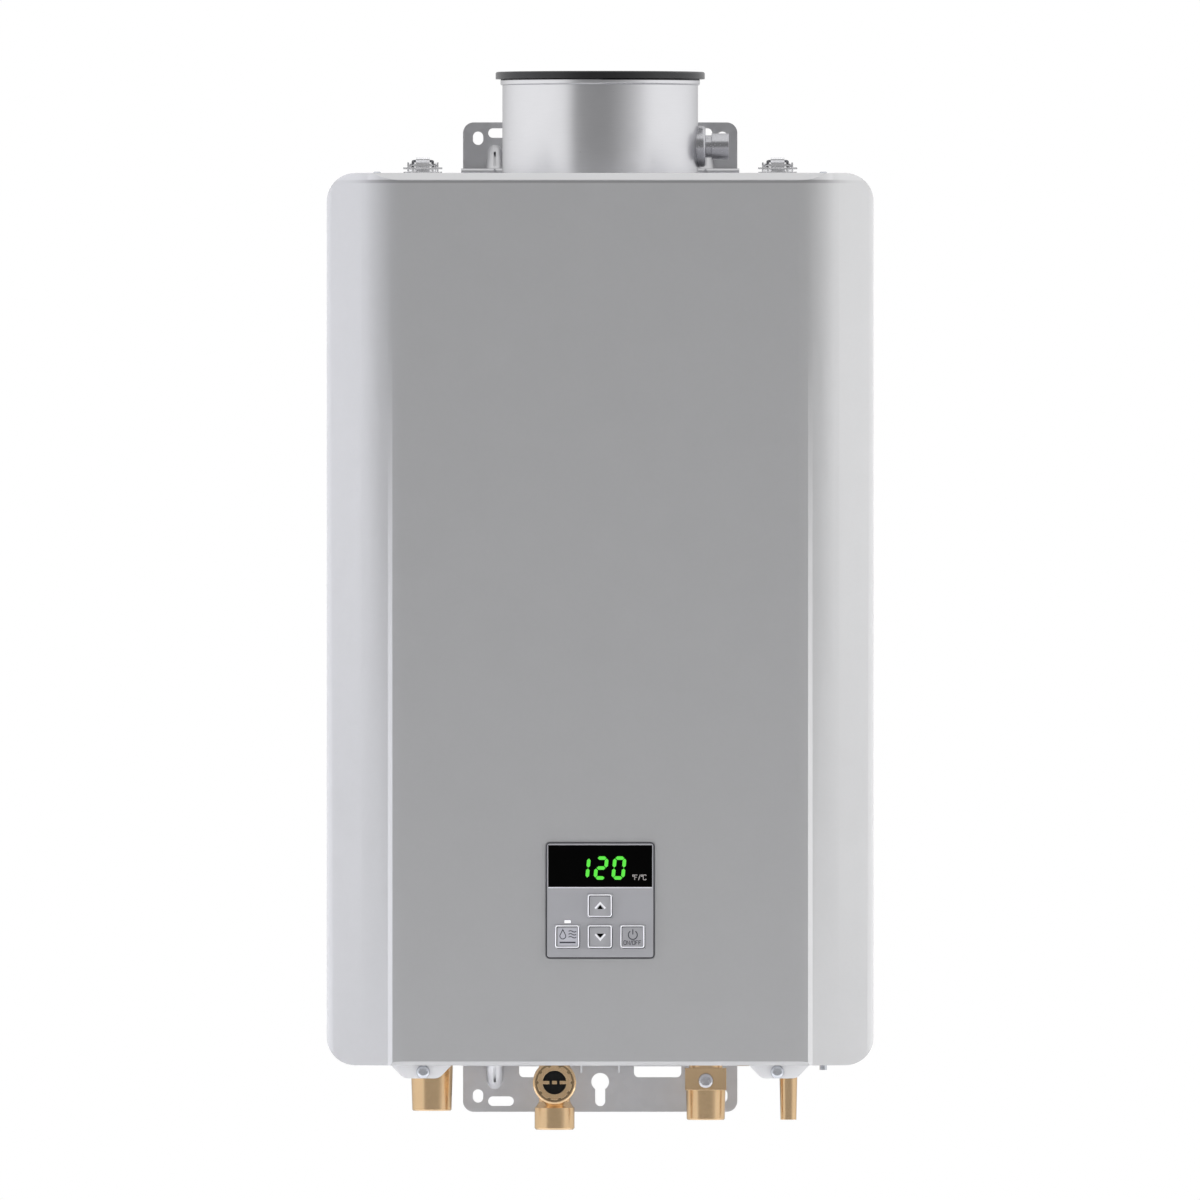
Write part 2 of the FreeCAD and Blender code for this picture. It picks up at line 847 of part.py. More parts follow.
def cover_form(name, inset):
    """The front cover's outer form, drawn in by an inset on every face."""
    half = f"case_wide / 2 - {inset}"
    back = f"{COVER_BACK} - {inset}"
    front = f"{FRONT} + {inset}"
    low = f"{COVER_LOW} + {inset}"
    high = f"{TOP} - {inset}"
    crease = value(f"{TOP} - crease_top")
    plain = cover_wire(value(inset), False, crease)
    stepped = cover_wire(value(inset), True, value(COVER_LOW) - 1)
    above = Part.Face(plain).extrude(V(0, 0, value("crease_top") + 1))
    below = Part.makeLoft([plain, stepped], True, True)
    profile = shaped(name + "_profile", above.fuse(below).removeSplitter())
    face = rounded_slab(
        name + "_face", half, low, high, f"-({back})", f"({back}) - ({front})", f"corner_round - {inset}"
    )
    over = f"(top_bevel - {inset} * {BEVEL_CUT})"
    under = f"(bottom_bevel - {inset} * {BEVEL_CUT})"
    side = [
        (back, low),
        (f"{front} + {under}", low),
        (front, f"{low} + {under}"),
        (front, f"{high} - {over}"),
        (f"{front} + {over}", high),
        (back, high),
    ]
    brow = prism(name + "_brow", "YZ_Plane", f"-({half})", side, f"2 * ({half})")
    return common(name + "_whole", profile, face, brow)


def front_cover():
    """Pressed cover: proud centre panel, side facets, return rim, tabs and the controller's cut-out."""
    outer = cover_form("cover_outer", "0")
    inner = cover_form("cover_inner", "sheet")
    mouth = rounded_slab(
        "cover_mouth",
        "case_wide / 2 - lip_wide",
        f"{COVER_LOW} + lip_wide",
        f"{TOP} - lip_wide",
        f"-{COVER_BACK} - sheet",
        "3 * sheet",
        "corner_round - lip_wide",
    )
    half = "control_wide / 2 + control_gap"
    tall = "control_high / 2 + control_gap"
    low = f"{CONTROL_Z} - ({tall})"
    high = f"{CONTROL_Z} + {tall}"
    window = rounded_slab("control_cutout", half, low, high, f"-({FRONT} + 5)", "10", "control_round + control_gap")
    shell = cut("cover_shell", outer, inner, mouth, window)
    tabs = [tab(f"cover_tab_{side + 1}", side, f"-{COVER_BACK}", f"{COVER_LOW} + sheet") for side in (-1, 1)]
    return node("front_cover", fuse("cover_whole", shell, *tabs))


def screw(name, width, high, shank, long, recess):
    """Round-headed screw: the head rises from z = 0, the shank goes down; a cross recess if asked for."""
    corners = [("0", f"-({long})"), (f"({shank}) / 2", f"-({long})"), (f"({shank}) / 2", "0")]
    corners += [(f"({width}) / 2", "0"), (f"({width}) / 2", high), ("0", high)]
    made = turned(name, corners, ("0", "0", "0"))
    level = value(high)
    rounded(made, f"({high}) * 0.8", lambda edge: edge.Curve.TypeId == "Part::GeomCircle" and edge_at(edge, 2, level))
    if not recess:
        return made
    arm = f"({width}) * 0.3"
    slim = f"({width}) * 0.07"
    bars = [
        block(name + "_cross", (f"-{arm}", arm), (f"-{slim}", slim), (f"({high}) * 0.45", f"({high}) + 1")),
        block(name + "_cross", (f"-{slim}", slim), (f"-{arm}", arm), (f"({high}) * 0.45", f"({high}) + 1")),
    ]
    return cut(name + "_crossed", made, *bars)


def cover_screws():
    """The two cross-recess screws that hold the cover's tabs, each with its clip nut."""
    pieces = []
    for side in (-1, 1):
        spot = (f"{side} * {TAB_SCREW_X}", f"{COVER_BACK} - sheet", f"{COVER_LOW} - tab_screw_drop")
        long = "gasket_thick + 2 * sheet + screw_reach"
        made = screw("tab_screw", "screw_head", "screw_head_high", "screw_shank", long, True)
        made.Placement = FreeCAD.Placement(V(), FreeCAD.Rotation(V(0, 1, 0), 45) * FACING_FRONT)
        pieces.append(place(made, *spot))
        nut = block(
            "clip_nut",
            (f"{spot[0]} - nut_wide / 2", f"{spot[0]} + nut_wide / 2"),
            (f"{SEAM} + sheet", f"{SEAM} + sheet + nut_thick"),
            (f"{spot[2]} - nut_high / 2", f"{spot[2]} + nut_high / 2"),
        )
        bore = rod("nut_bore", "Y", (spot[0], f"{SEAM} + sheet - 1", spot[2]), "screw_shank", "nut_thick + 2")
        pieces.append(cut("nut", nut, bore))
    return node("cover_screws", group("cover_screw_set", *pieces))


def case_screws():
    """Small screws of the case: two on the roof, one under the floor, four for the wall brackets."""
    pieces = []
    long = "bracket_thick + sheet + screw_reach"
    for side in (-1, 1):
        dome = screw("roof_screw", "roof_screw_wide", "roof_screw_high", "roof_shank", "sheet + screw_reach", False)
        pieces.append(place(dome, f"{side} * {ROOF_SCREW_X}", f"{SEAM} + roof_screw_back", TOP))
        x = f"{side} * bracket_screw_x"
        for z, over in ((f"{TOP} + bracket_thick", 0), (f"{REAR_LOW} - bracket_thick", 180)):
            flat = screw("bracket_screw", "bracket_screw_wide", "bracket_screw_high", "screw_shank", long, False)
            flat.Placement = FreeCAD.Placement(V(), FreeCAD.Rotation(V(1, 0, 0), over))
            pieces.append(place(flat, x, "-bracket_screw_y", z))
    start = (ROOF_SCREW_X, f"{SEAM} + roof_screw_back", f"{REAR_LOW} - stud_long")
    pieces.append(rod("earth_stud", "Z", start, "stud_wide", "stud_long"))
    return node("case_screws", group("case_screw_set", *pieces))


# Wall brackets


def slot_tool(name, x, z, wide, high):
    """Obround hole tool through the bracket's plate, longer across or longer up."""
    reach = "bracket_thick + 2"
    start_y = "-bracket_thick - 1"
    if value(wide) > value(high):
        ends = [(f"{x} + {s} * (({wide}) - ({high})) / 2", start_y, z) for s in (-1, 1)]
        middle = block(
            name + "_middle",
            (f"{x} - (({wide}) - ({high})) / 2", f"{x} + (({wide}) - ({high})) / 2"),
            (start_y, "1"),
            (f"{z} - ({high}) / 2", f"{z} + ({high}) / 2"),
        )
        width = high
    else:
        ends = [(x, start_y, f"{z} + {s} * (({high}) - ({wide})) / 2") for s in (-1, 1)]
        middle = block(
            name + "_middle",
            (f"{x} - ({wide}) / 2", f"{x} + ({wide}) / 2"),
            (start_y, "1"),
            (f"{z} - (({high}) - ({wide})) / 2", f"{z} + (({high}) - ({wide})) / 2"),
        )
        width = wide
    return fuse(name, middle, *[rod(name + "_end", "Y", end, width, reach) for end in ends])


def bracket_rib(side):
    """Half-round stiffening rib pressed across the bend."""
    x = f"{side} * rib_spacing / 2"
    bar = doc.addObject("Part::Cylinder", "rib_bar")
    bar.Placement = FreeCAD.Placement(V(), FreeCAD.Rotation(V(0, 0, 1), V(0, -1, -1)))
    bind(bar, Radius="rib_wide / 2", Height="60")
    place(bar, x, "-bracket_thick + 20", "-rib_top - rib_wide * 0.7071 + 20")
    room = block(
        "rib_room",
        (f"{x} - rib_wide", f"{x} + rib_wide"),
        ("-bracket_reach", "-bracket_thick / 2"),
        ("-case_drop + bracket_thick / 2", "0"),
    )
    low = "-rib_top - rib_slot_drop - rib_slot_long"
    high = f"{low} + rib_slot_long"
    crest = "-bracket_thick + rib_top"
    corners = [
        (f"{crest} + ({low}) - rib_slot_deep", low),
        (f"{crest} + ({low}) + rib_slot_deep", low),
        (f"{crest} + ({high}) + rib_slot_deep", high),
        (f"{crest} + ({high}) - rib_slot_deep", high),
    ]
    tool = prism("rib_slot_tool", "YZ_Plane", f"{x} - rib_slot / 2", corners, "rib_slot")
    return cut("rib", common("rib_whole", bar, room), tool)


def rib_ridge(name, side, start, long, less):
    """Roof-shaped bar over the flange's front edge in line with a rib, with 45° sides."""
    x = f"{side} * rib_spacing / 2"
    low = "-case_drop"
    tall = f"(bead_proud + bead_lift - {less})"
    corners = [(f"{x} - {tall}", low), (f"{x} + {tall}", low), (x, f"{low} + {tall}")]
    return prism(name, "XZ_Plane", start, corners, long)


def bracket_bead():
    """Rolled front edge of the flange, a little wider than the plate."""
    start = ("-bracket_wide / 2 - bead_over", "-bracket_reach", "-case_drop + bead_proud / 2 + bead_lift")
    return rod("bracket_bead", "X", start, "bead_proud", "bracket_wide + 2 * bead_over")


def bracket_gusset(side):
    """Small web between the plate and the flange."""
    low = "-case_drop + bracket_thick / 2"
    corners = [
        ("-bracket_thick / 2", low),
        ("-bracket_thick / 2", f"{low} + gusset_high"),
        ("-bracket_thick / 2 - gusset_high", low),
    ]
    start = f"{side} * gusset_spacing / 2 - gusset_thick / 2"
    return prism("bracket_gusset", "YZ_Plane", start, corners, "gusset_thick")


def window_tool(middle):
    """Window through the bracket's plate, its corners on the wall's side of the case rounded."""
    half = "window_wide / 2"
    corners = [
        (f"{middle} - {half}", "-window_drop - window_high"),
        (f"{middle} + {half}", "-window_drop - window_high"),
        (f"{middle} + {half}", "-window_drop"),
        (f"{middle} - {half}", "-window_drop"),
    ]
    made = prism("bracket_window", "XZ_Plane", "-1", corners, "bracket_thick + 2")
    top = value("-window_drop")
    return rounded(made, "window_round", lambda edge: runs_along(edge, 1) and edge_at(edge, 2, top))


def wall_bracket(label, turned_over):
    """Pressed wall bracket: plate with slots, ovals and a keyhole, and a flange bent forward onto the case."""
    profile = [
        ("0", "bracket_rise"),
        ("0", "-case_drop"),
        ("-bracket_reach", "-case_drop"),
        ("-bracket_reach", "-case_drop + bracket_thick"),
        ("-bracket_thick", "-case_drop + bracket_thick"),
        ("-bracket_thick", "bracket_rise"),
    ]
    angle = prism(label + "_angle", "YZ_Plane", "-bracket_wide / 2", profile, "bracket_wide")
    low = value("-case_drop")
    thick = value("bracket_thick")
    high = value("bracket_rise")

    def bend(edge, y, z):
        return runs_along(edge, 0) and edge_at(edge, 1, y) and edge_at(edge, 2, z)

    rounded(angle, "bracket_bend", lambda edge: bend(edge, -thick, low + thick))
    rounded(angle, "bracket_bend + bracket_thick * 0.9", lambda edge: bend(edge, 0, low))
    rounded(angle, "bracket_corner", lambda edge: runs_along(edge, 1) and edge_at(edge, 2, high))
    webs = [bracket_gusset(side) for side in (-1, 1)]
    ribs = [bracket_rib(side) for side in (-1, 1)]
    front = "bracket_reach + bead_proud / 2 + 0.3"
    long = f"{front} - bracket_thick / 2"
    ridges = [rib_ridge("ridge", side, "bracket_thick / 2", long, 0) for side in (-1, 1)]
    ribbed = fuse(label + "_ribbed", angle, bracket_bead(), *ribs, *webs, *ridges)
    tools = []
    for side in (-1, 1):
        thin = "ridge_thick * 1.4142"
        tools.append(rib_ridge("ridge_hollow", side, f"{front} - ridge_hollow", "ridge_hollow + 1", thin))
        tools.append(slot_tool("slot", f"{side} * slot_spacing / 2", "0", "slot_long", "slot_wide"))
        tools.append(slot_tool("oval", f"{side} * oval_spacing / 2", "-oval_drop", "oval_wide", "oval_high"))
        tools.append(window_tool(f"{side} * window_spacing / 2"))
        start = (f"{side} * bracket_screw_x", "-bracket_screw_y", "-case_drop - 1")
        tools.append(rod("flange_hole", "Z", start, "screw_shank + 2 * hole_gap", "bracket_thick + 2"))
    tools.append(rod("keyhole_round", "Y", ("0", "-bracket_thick - 1", "-keyhole_drop"), "keyhole", "bracket_thick + 2"))
    tools.append(slot_tool("keyhole_neck", "0", "-keyhole_drop / 2", "keyhole_slot", "keyhole_drop + keyhole_slot"))
    made = cut(label + "_cut", ribbed, *tools)
    if turned_over:
        made.Placement = FreeCAD.Placement(V(), FreeCAD.Rotation(V(0, 1, 0), 180))
        place(made, "0", "0", f"{REAR_LOW} - case_drop")
    return node(label, made)


# Vent collar


def vent_collar():
    """Outer pipe for combustion air, with its bead and the flange under the roof, and the port's hole."""
    bore = "collar_wide / 2 - collar_wall"
    corners = [
        (bore, "-sheet - collar_wall"),
        ("collar_flange / 2", "-sheet - collar_wall"),
        ("collar_flange / 2", "-sheet"),
        ("collar_wide / 2", "-sheet"),
        ("collar_wide / 2", "collar_high - bead_high"),
        ("bead_wide / 2", "collar_high - bead_high"),
        ("bead_wide / 2", "collar_high"),
        (bore, "collar_high"),
    ]
    pipe_body = turned("collar_pipe", corners, ("0", "-flue_y", TOP))
    edge_r = value("bead_wide / 2")

    def bead_edge(edge):
        return edge.Curve.TypeId == "Part::GeomCircle" and abs(edge.Curve.Radius - edge_r) < 0.01

    rounded(pipe_body, "bead_round", bead_edge)
    hole = rod("collar_port_hole", "X", ("0", "-flue_y", f"{TOP} + port_rise"), "stub_bore", "collar_wide")
    return node("vent_collar", cut("collar_cut", pipe_body, hole))


def collar_gasket():
    """Black sealing ring seated on the collar's rim."""
    corners = [
        ("collar_wide / 2 - collar_wall", "0"),
        ("ring_wide / 2", "0"),
        ("ring_wide / 2", "ring_high"),
        ("collar_wide / 2 - collar_wall", "ring_high"),
    ]
    made = turned("collar_ring", corners, ("0", "-flue_y", f"{TOP} + collar_high"))
    top = value("ring_high")

    def outer_rim(edge):
        return edge.Curve.TypeId == "Part::GeomCircle" and edge_at(edge, 2, top)

    return node("collar_gasket", rounded(made, "ring_high * 0.25", outer_rim))


def inner_flue():
    """Inner exhaust pipe, seated on the hood and round its neck."""
    low = f"{HOOD_TOP} - {TOP}"
    corners = [
        ("flue_wide / 2 - flue_wall", low),
        ("flue_wide / 2", low),
        ("flue_wide / 2", "flue_rise"),
        ("flue_wide / 2 - flue_wall", "flue_rise"),
    ]
    return node("inner_flue", turned("flue_pipe", corners, ("0", "-flue_y", TOP)))


def collar_side_port():
    """Saddle flange and stub pipe on the collar's right side."""
    z = f"{TOP} + port_rise"
    face = "collar_wide / 2 + port_reach"
    corners = [("0", "-3"), ("port_wide / 2", "-3"), ("port_wide / 2", "port_reach"), ("0", "port_reach")]
    disc = turned("port_disc", corners, ("collar_wide / 2", "-flue_y", z), TURNS["X"])
    level = value("port_reach")

    def outer_rim(edge):
        return edge.Curve.TypeId == "Part::GeomCircle" and edge_at(edge, 2, level)

    disc = rounded(disc, "port_round", outer_rim)
    neck = rod("port_neck", "X", (face, "-flue_y", z), "stub_neck", "stub_neck_long")
    stub = rod("port_stub", "X", (f"{face} + stub_neck_long", "-flue_y", z), "stub_wide", "stub_long - stub_neck_long")
    body = fuse("port_body", disc, neck, stub)
    bore = rod("port_bore", "X", ("0", "-flue_y", z), "stub_bore", "collar_wide")
    saddle = rod("port_saddle", "Z", ("0", "-flue_y", f"{TOP} - 1"), "collar_wide", "collar_high")
    return node("collar_side_port", cut("port_cut", body, bore, saddle))


# Draw latches


def latch_y(ahead):
    """Y of a point of the latch, given how far it lies ahead of the lever's pivot."""
    return f"({SEAM} + latch_back - ({ahead}))"


def latch_bases():
    """Left and right base plates on the rear case, each with two ears for the lever's pins."""
    pieces = []
    for side in (-1, 1):
        x = f"{side} * {LATCH_X}"
        plate = block(
            "base_plate",
            (f"{x} - latch_wide / 2", f"{x} + latch_wide / 2"),
            (f"{SEAM} + 0.5", f"{SEAM} + latch_long"),
            (TOP, f"{TOP} + latch_plate"),
        )
        ears = []
        holes = []
        for hand in (-1, 1):
            inner = "lever_wide / 2 + ear_gap"
            near = inner if hand > 0 else f"-({inner}) - ear_thick"
            ears.append(
                block(
                    "base_ear",
                    (f"{x} + {near}", f"{x} + {near} + ear_thick"),
                    (latch_y("3"), latch_y("-3")),
                    (TOP, f"{TOP} + pivot_up + 2.3"),
                )
            )
            start = (f"{x} + {near} - 1", latch_y("0"), f"{TOP} + pivot_up")
            holes.append(rod("ear_hole", "X", start, "pivot_pin + 2 * running", "ear_thick + 2"))
        pieces.append(cut("base", fuse("base_solid", plate, *ears), *holes))
    return node("latch_bases", group("latch_base_pair", *pieces))


def latch_keepers():
    """Left and right hooks on the cover's roof, each with a rolled lip, on a plate with a raised wing."""
    pieces = []
    for side in (-1, 1):
        x = f"{side} * {LATCH_X}"
        stem = latch_y("bar_ahead - wire / 2 - 0.5")
        inner = latch_y("bar_ahead + wire / 2 + hook_room")
        plate_y = (f"{inner} - hook_thick - 5", f"{stem} + hook_thick + 1.6")
        plate = block(
            "keeper_plate",
            (f"{x} - latch_wide / 2", f"{x} + latch_wide / 2"),
            plate_y,
            (TOP, f"{TOP} + latch_plate"),
        )
        hook = prism(
            "keeper_hook",
            "YZ_Plane",
            f"{x} - hook_wide / 2",
            [
                (f"{stem} + hook_thick", TOP),
                (stem, TOP),
                (stem, f"{TOP} + hook_high - hook_thick"),
                (inner, f"{TOP} + hook_high - hook_thick"),
                (inner, f"{TOP} + hook_high - hook_lip"),
                (f"{inner} - hook_thick", f"{TOP} + hook_high - hook_lip"),
                (f"{inner} - hook_thick", f"{TOP} + hook_high"),
                (f"{stem} + hook_thick", f"{TOP} + hook_high"),
            ],
            "hook_wide",
        )
        level = value(f"{TOP} + hook_high")
        rounded(hook, "hook_thick * 0.9", lambda edge: runs_along(edge, 0) and edge_at(edge, 2, level))
        lip = f"{TOP} + hook_high - hook_lip"
        roll_y = f"{inner} - hook_thick / 2"
        roll_z = f"{TOP} + hook_high - roll_wide / 2"
        roll = rod("keeper_roll", "X", (f"{x} - hook_wide / 2", roll_y, roll_z), "roll_wide", "hook_wide")
        lens = prism(
            "keeper_lens",
            "XZ_Plane",
            f"-({inner})",
            [
                (f"{x} - lens_wide / 2", lip),
                (f"{x} - lens_wide / 3", f"{lip} - lens_high / 2"),
                (f"{x} + lens_wide / 3", f"{lip} - lens_high / 2"),
                (f"{x} + lens_wide / 2", lip),
                (f"{x} + lens_wide / 3", f"{lip} + lens_high / 2"),
                (f"{x} - lens_wide / 3", f"{lip} + lens_high / 2"),
            ],
            "hook_thick",
        )
        near = f"{inner} - hook_thick"
        wing = block(
            "keeper_wing",
            (f"{x} - wing_wide / 2", f"{x} + wing_wide / 2"),
            (f"{near} - wing_deep", near),
            (f"{TOP} + wing_up", f"{TOP} + wing_up + wing_thick"),
        )
        posts = []
        for hand in (-1, 1):
            start = (f"{x} + {hand} * post_x", f"{near} - wing_deep / 2", f"{TOP} + latch_plate / 2")
            posts.append(rod("keeper_post", "Z", start, "wing_deep", "wing_up - latch_plate / 2 + 0.2"))
        pieces.append(fuse("keeper", plate, hook, roll, lens, wing, *posts))
    return node("latch_keepers", group("latch_keeper_pair", *pieces))


def latch_lever(label, side):
    """Toggle lever: two cheeks and a top plate, with outward pivot pins and holes for the bail's feet."""
    x = f"{side} * {LATCH_X}"
    up = f"{TOP} + pivot_up"
    corners = [
        (latch_y("2.1"), f"{up} - 1.4"),
        (latch_y("2.1"), f"{up} + 1.4"),
        (latch_y("0.5"), f"{up} + 2.2"),
        (latch_y("-foot_back - 2.6"), f"{up} + 1.8"),
        (latch_y("-lever_long"), f"{up} + 1.8"),
        (latch_y("-lever_long"), f"{up} + 0.6"),
        (latch_y("-foot_back - 4.1"), f"{up} - 0.5"),
        (latch_y("-foot_back - 2.1"), f"{TOP} + foot_up - 1.9"),
        (latch_y("-foot_back + 1.9"), f"{TOP} + foot_up - 1.9"),
        (latch_y("-1"), f"{up} - 2.2"),
    ]
    solids = []
    holes = []
    for hand in (-1, 1):
        near = "lever_wide / 2 - lever_cheek" if hand > 0 else "-lever_wide / 2"
        solids.append(prism("lever_cheek", "YZ_Plane", f"{x} + {near}", corners, "lever_cheek"))
        pin = "lever_wide / 2 - 0.2" if hand > 0 else "-lever_wide / 2 - ear_gap - ear_thick"
        solids.append(rod("lever_pin", "X", (f"{x} + {pin}", latch_y("0"), up), "pivot_pin", "ear_gap + ear_thick + 0.2"))
        start = (f"{x} + {near} - 1", latch_y("-foot_back"), f"{TOP} + foot_up")
        holes.append(rod("foot_hole", "X", start, "wire + 2 * running", "lever_cheek + 2"))
    solids.append(
        block(
            "lever_plate",
            (f"{x} - lever_wide / 2", f"{x} + lever_wide / 2"),
            (latch_y("-foot_back - 2.6"), latch_y("-lever_long")),
            (f"{up} + 0.6", f"{up} + 1.8"),
        )
    )
    return node(label, cut(label + "_cut", fuse(label + "_solid", *solids), *holes))


def latch_bail(label, side):
    """Bent wire loop: two feet in the lever's cheeks, two legs and the bar under the hook."""
    x = side * value(LATCH_X)
    foot_y = value(latch_y("-foot_back"))
    foot_z = value(f"{TOP} + foot_up")
    bar_y = value(latch_y("bar_ahead"))
    bar_z = value(f"{TOP} + bar_up")
    leg = value("bail_wide / 2")
    end = value("lever_wide / 2")
    points = [
        V(x + end, foot_y, foot_z),
        V(x + leg, foot_y, foot_z),
        V(x + leg, bar_y, bar_z),
        V(x - leg, bar_y, bar_z),
        V(x - leg, foot_y, foot_z),
        V(x - end, foot_y, foot_z),
    ]
    wire = value("wire")
    path = bent_wire(points, [wire * 0.56, wire, wire, wire * 0.56])
    return node(label, shaped(label, swept(path, wire)))


# Water and gas connections


def hot_outlet_fitting():
    """Brass hot outlet: tapered male end below the case, collar inside it."""
    corners = [
        ("water_bore / 2", "-hot_drop"),
        ("hot_tip / 2 - tip_bevel", "-hot_drop"),
        ("hot_tip / 2", "-hot_drop + tip_bevel"),
        ("hot_wide / 2", "-6"),
        ("hot_wide / 2", "sheet"),
        ("hot_wide / 2 + nut_step", "sheet"),
        ("hot_wide / 2 + nut_step", "sheet + nut_deep"),
        ("hot_wide / 2 - 2", "sheet + nut_deep"),
        ("hot_wide / 2 - 2", "hot_rise"),
        ("water_bore / 2", "hot_rise"),
    ]
    return node("hot_outlet_fitting", turned("hot_fitting", corners, (f"-{HOT_X}", "-joint_y", REAR_LOW)))


def cold_inlet_body():
    """Brass cold inlet: threaded foot, neck, strainer housing facing the front, and collar inside the case."""
    corners = [
        ("0", "-cold_drop"),
        ("cold_wide / 2 - 1", "-cold_drop"),
        ("cold_wide / 2", "-cold_drop + 1"),
        ("cold_wide / 2", "-cold_drop + cold_foot - 1"),
        ("cold_wide / 2 - 1", "-cold_drop + cold_foot"),
        ("cold_neck / 2", "-cold_drop + cold_foot + cold_flare"),
        ("cold_neck / 2", "sheet"),
        ("cold_neck / 2 + nut_step", "sheet"),
        ("cold_neck / 2 + nut_step", "sheet + nut_deep"),
        ("cold_neck / 2", "sheet + nut_deep"),
        ("cold_neck / 2", "cold_rise"),
        ("0", "cold_rise"),
    ]
    stem = turned("cold_stem", corners, ("-cold_x", "-joint_y", REAR_LOW))
    front = "-joint_y - housing_front"
    housing = rod("strainer_housing", "Y", ("-cold_x", front, CAP_Z), "cap_wide", "housing_front + housing_back")
    solid = fuse("cold_solid", stem, housing)
    bore = rod("cold_bore", "Z", ("-cold_x", "-joint_y", f"{REAR_LOW} - cold_drop - 1"), "water_bore", "cold_drop + cold_rise + 2")
    room = rod("strainer_room", "Y", ("-cold_x", f"{front} - 1", CAP_Z), "cap_bore", "basket_long + 6")
    return node("cold_inlet_body", cut("cold_cut", solid, bore, room))


def cap_profile():
    """Half profile of the strainer cap, from its front face (height 0 at the housing's mouth)."""
    shank = "cap_bore / 2 - running"
    groove = "ring_groove / 2"
    return [
        ("0", "cap_thick - cap_recess_deep"),
        ("cap_recess / 2", "cap_thick - cap_recess_deep"),
        ("cap_recess / 2", "cap_thick"),
        ("cap_wide / 2 - 1", "cap_thick"),
        ("cap_wide / 2", "cap_thick - 1"),
        ("cap_wide / 2", "hole_gap"),
        (shank, "hole_gap"),
        (shank, "-groove_back"),
        (groove, "-groove_back"),
        (groove, "-groove_back - ring_cord - 0.4"),
        (shank, "-groove_back - ring_cord - 0.4"),
        (shank, "-cap_shank"),
        ("basket_wide / 2 + hole_gap", "-cap_shank"),
        ("basket_wide / 2 + hole_gap", "-cap_seat"),
        ("0", "-cap_seat"),
    ]


def strainer_cap():
    """Screw cap of the strainer, with finger notches round it and a deep recess with a split grip bar."""
    spot = ("-cold_x", "-joint_y - housing_front", CAP_Z)
    blank = turned("cap_blank", cap_profile(), spot, FACING_FRONT)
    face = "-joint_y - housing_front - cap_thick"
    notch_tools = []
    for k in range(10):
        turn = f"{36 * k + 18} deg"
        x = f"-cold_x + notch_ring / 2 * sin({turn})"
        z = f"{CAP_Z} + notch_ring / 2 * cos({turn})"
        notch_tools.append(rod("notch", "Y", (x, f"{face} - 1", z), "notch_wide", "notch_deep + 1"))
    ring = turned(
        "cap_groove",
        [
            ("notch_ring / 2", "-cap_groove_deep"),
            ("cap_groove_out / 2", "-cap_groove_deep"),
            ("cap_groove_out / 2", "1"),
            ("notch_ring / 2", "1"),
        ],
        ("-cold_x", face, CAP_Z),
        FACING_FRONT,
    )
    notches = fuse("cap_notches", ring, *notch_tools)
    half = "cap_recess / 2"
    bars = []
    spans = [
        (f"-{half} - 0.1", f"-{half} + cap_stub"),
        ("-cap_hub / 2", "cap_hub / 2"),
        (f"{half} - cap_stub", f"{half} + 0.1"),
    ]
    for start, end in spans:
        bars.append(
            block(
                "grip_bar",
                (f"-cold_x + {start}", f"-cold_x + {end}"),
                (f"{face} + cap_bar_back", f"{face} + cap_recess_deep + 0.4"),
                (f"{CAP_Z} - cap_bar / 2", f"{CAP_Z} + cap_bar / 2"),
            )
        )
    return node("strainer_cap", fuse("cap_barred", cut("cap_cut", blank, notches), *bars))


def strainer_basket():
    """Perforated strainer tube, closed at its inner end."""
    spot = ("-cold_x", "-joint_y - housing_front", CAP_Z)
    corners = [
        ("basket_wide / 2 - basket_wall", "-cap_seat - hole_gap"),
        ("basket_wide / 2", "-cap_seat - hole_gap"),
        ("basket_wide / 2", "-basket_long"),
        ("0", "-basket_long"),
        ("0", "-basket_long + basket_wall"),
        ("basket_wide / 2 - basket_wall", "-basket_long + basket_wall"),
    ]
    tube = turned("basket_tube", corners, spot, FACING_FRONT)
    centre = V(-value("cold_x"), -value("joint_y + housing_front"), value(CAP_Z))
    holes = []
    for row in range(3):
        for k in range(8):
            angle = 2 * math.pi * (k + row * 0.5) / 8
            way = V(math.cos(angle), 0, math.sin(angle))
            start = centre + V(0, value(f"cap_shank + basket_hole + {row} * basket_pitch"), 0)
            holes.append(Part.makeCylinder(value("basket_hole / 2"), value("basket_wide"), start, way))
    return node("strainer_basket", cut("basket_cut", tube, shaped("basket_holes", Part.makeCompound(holes))))


def strainer_o_ring():
    """O-ring in the cap's groove."""
    made = doc.addObject("Part::Torus", "o_ring")
    made.Placement = FreeCAD.Placement(V(), FACING_FRONT)
    bind(made, Radius1="ring_groove / 2 + ring_cord / 2", Radius2="ring_cord / 2")
    y = "-joint_y - housing_front + groove_back + 0.2 + ring_cord / 2"
    return node("strainer_o_ring", place(made, "-cold_x", y, CAP_Z))


TEST_Z = f"({REAR_LOW} - gas_block_top - gas_block_high * 0.58)"


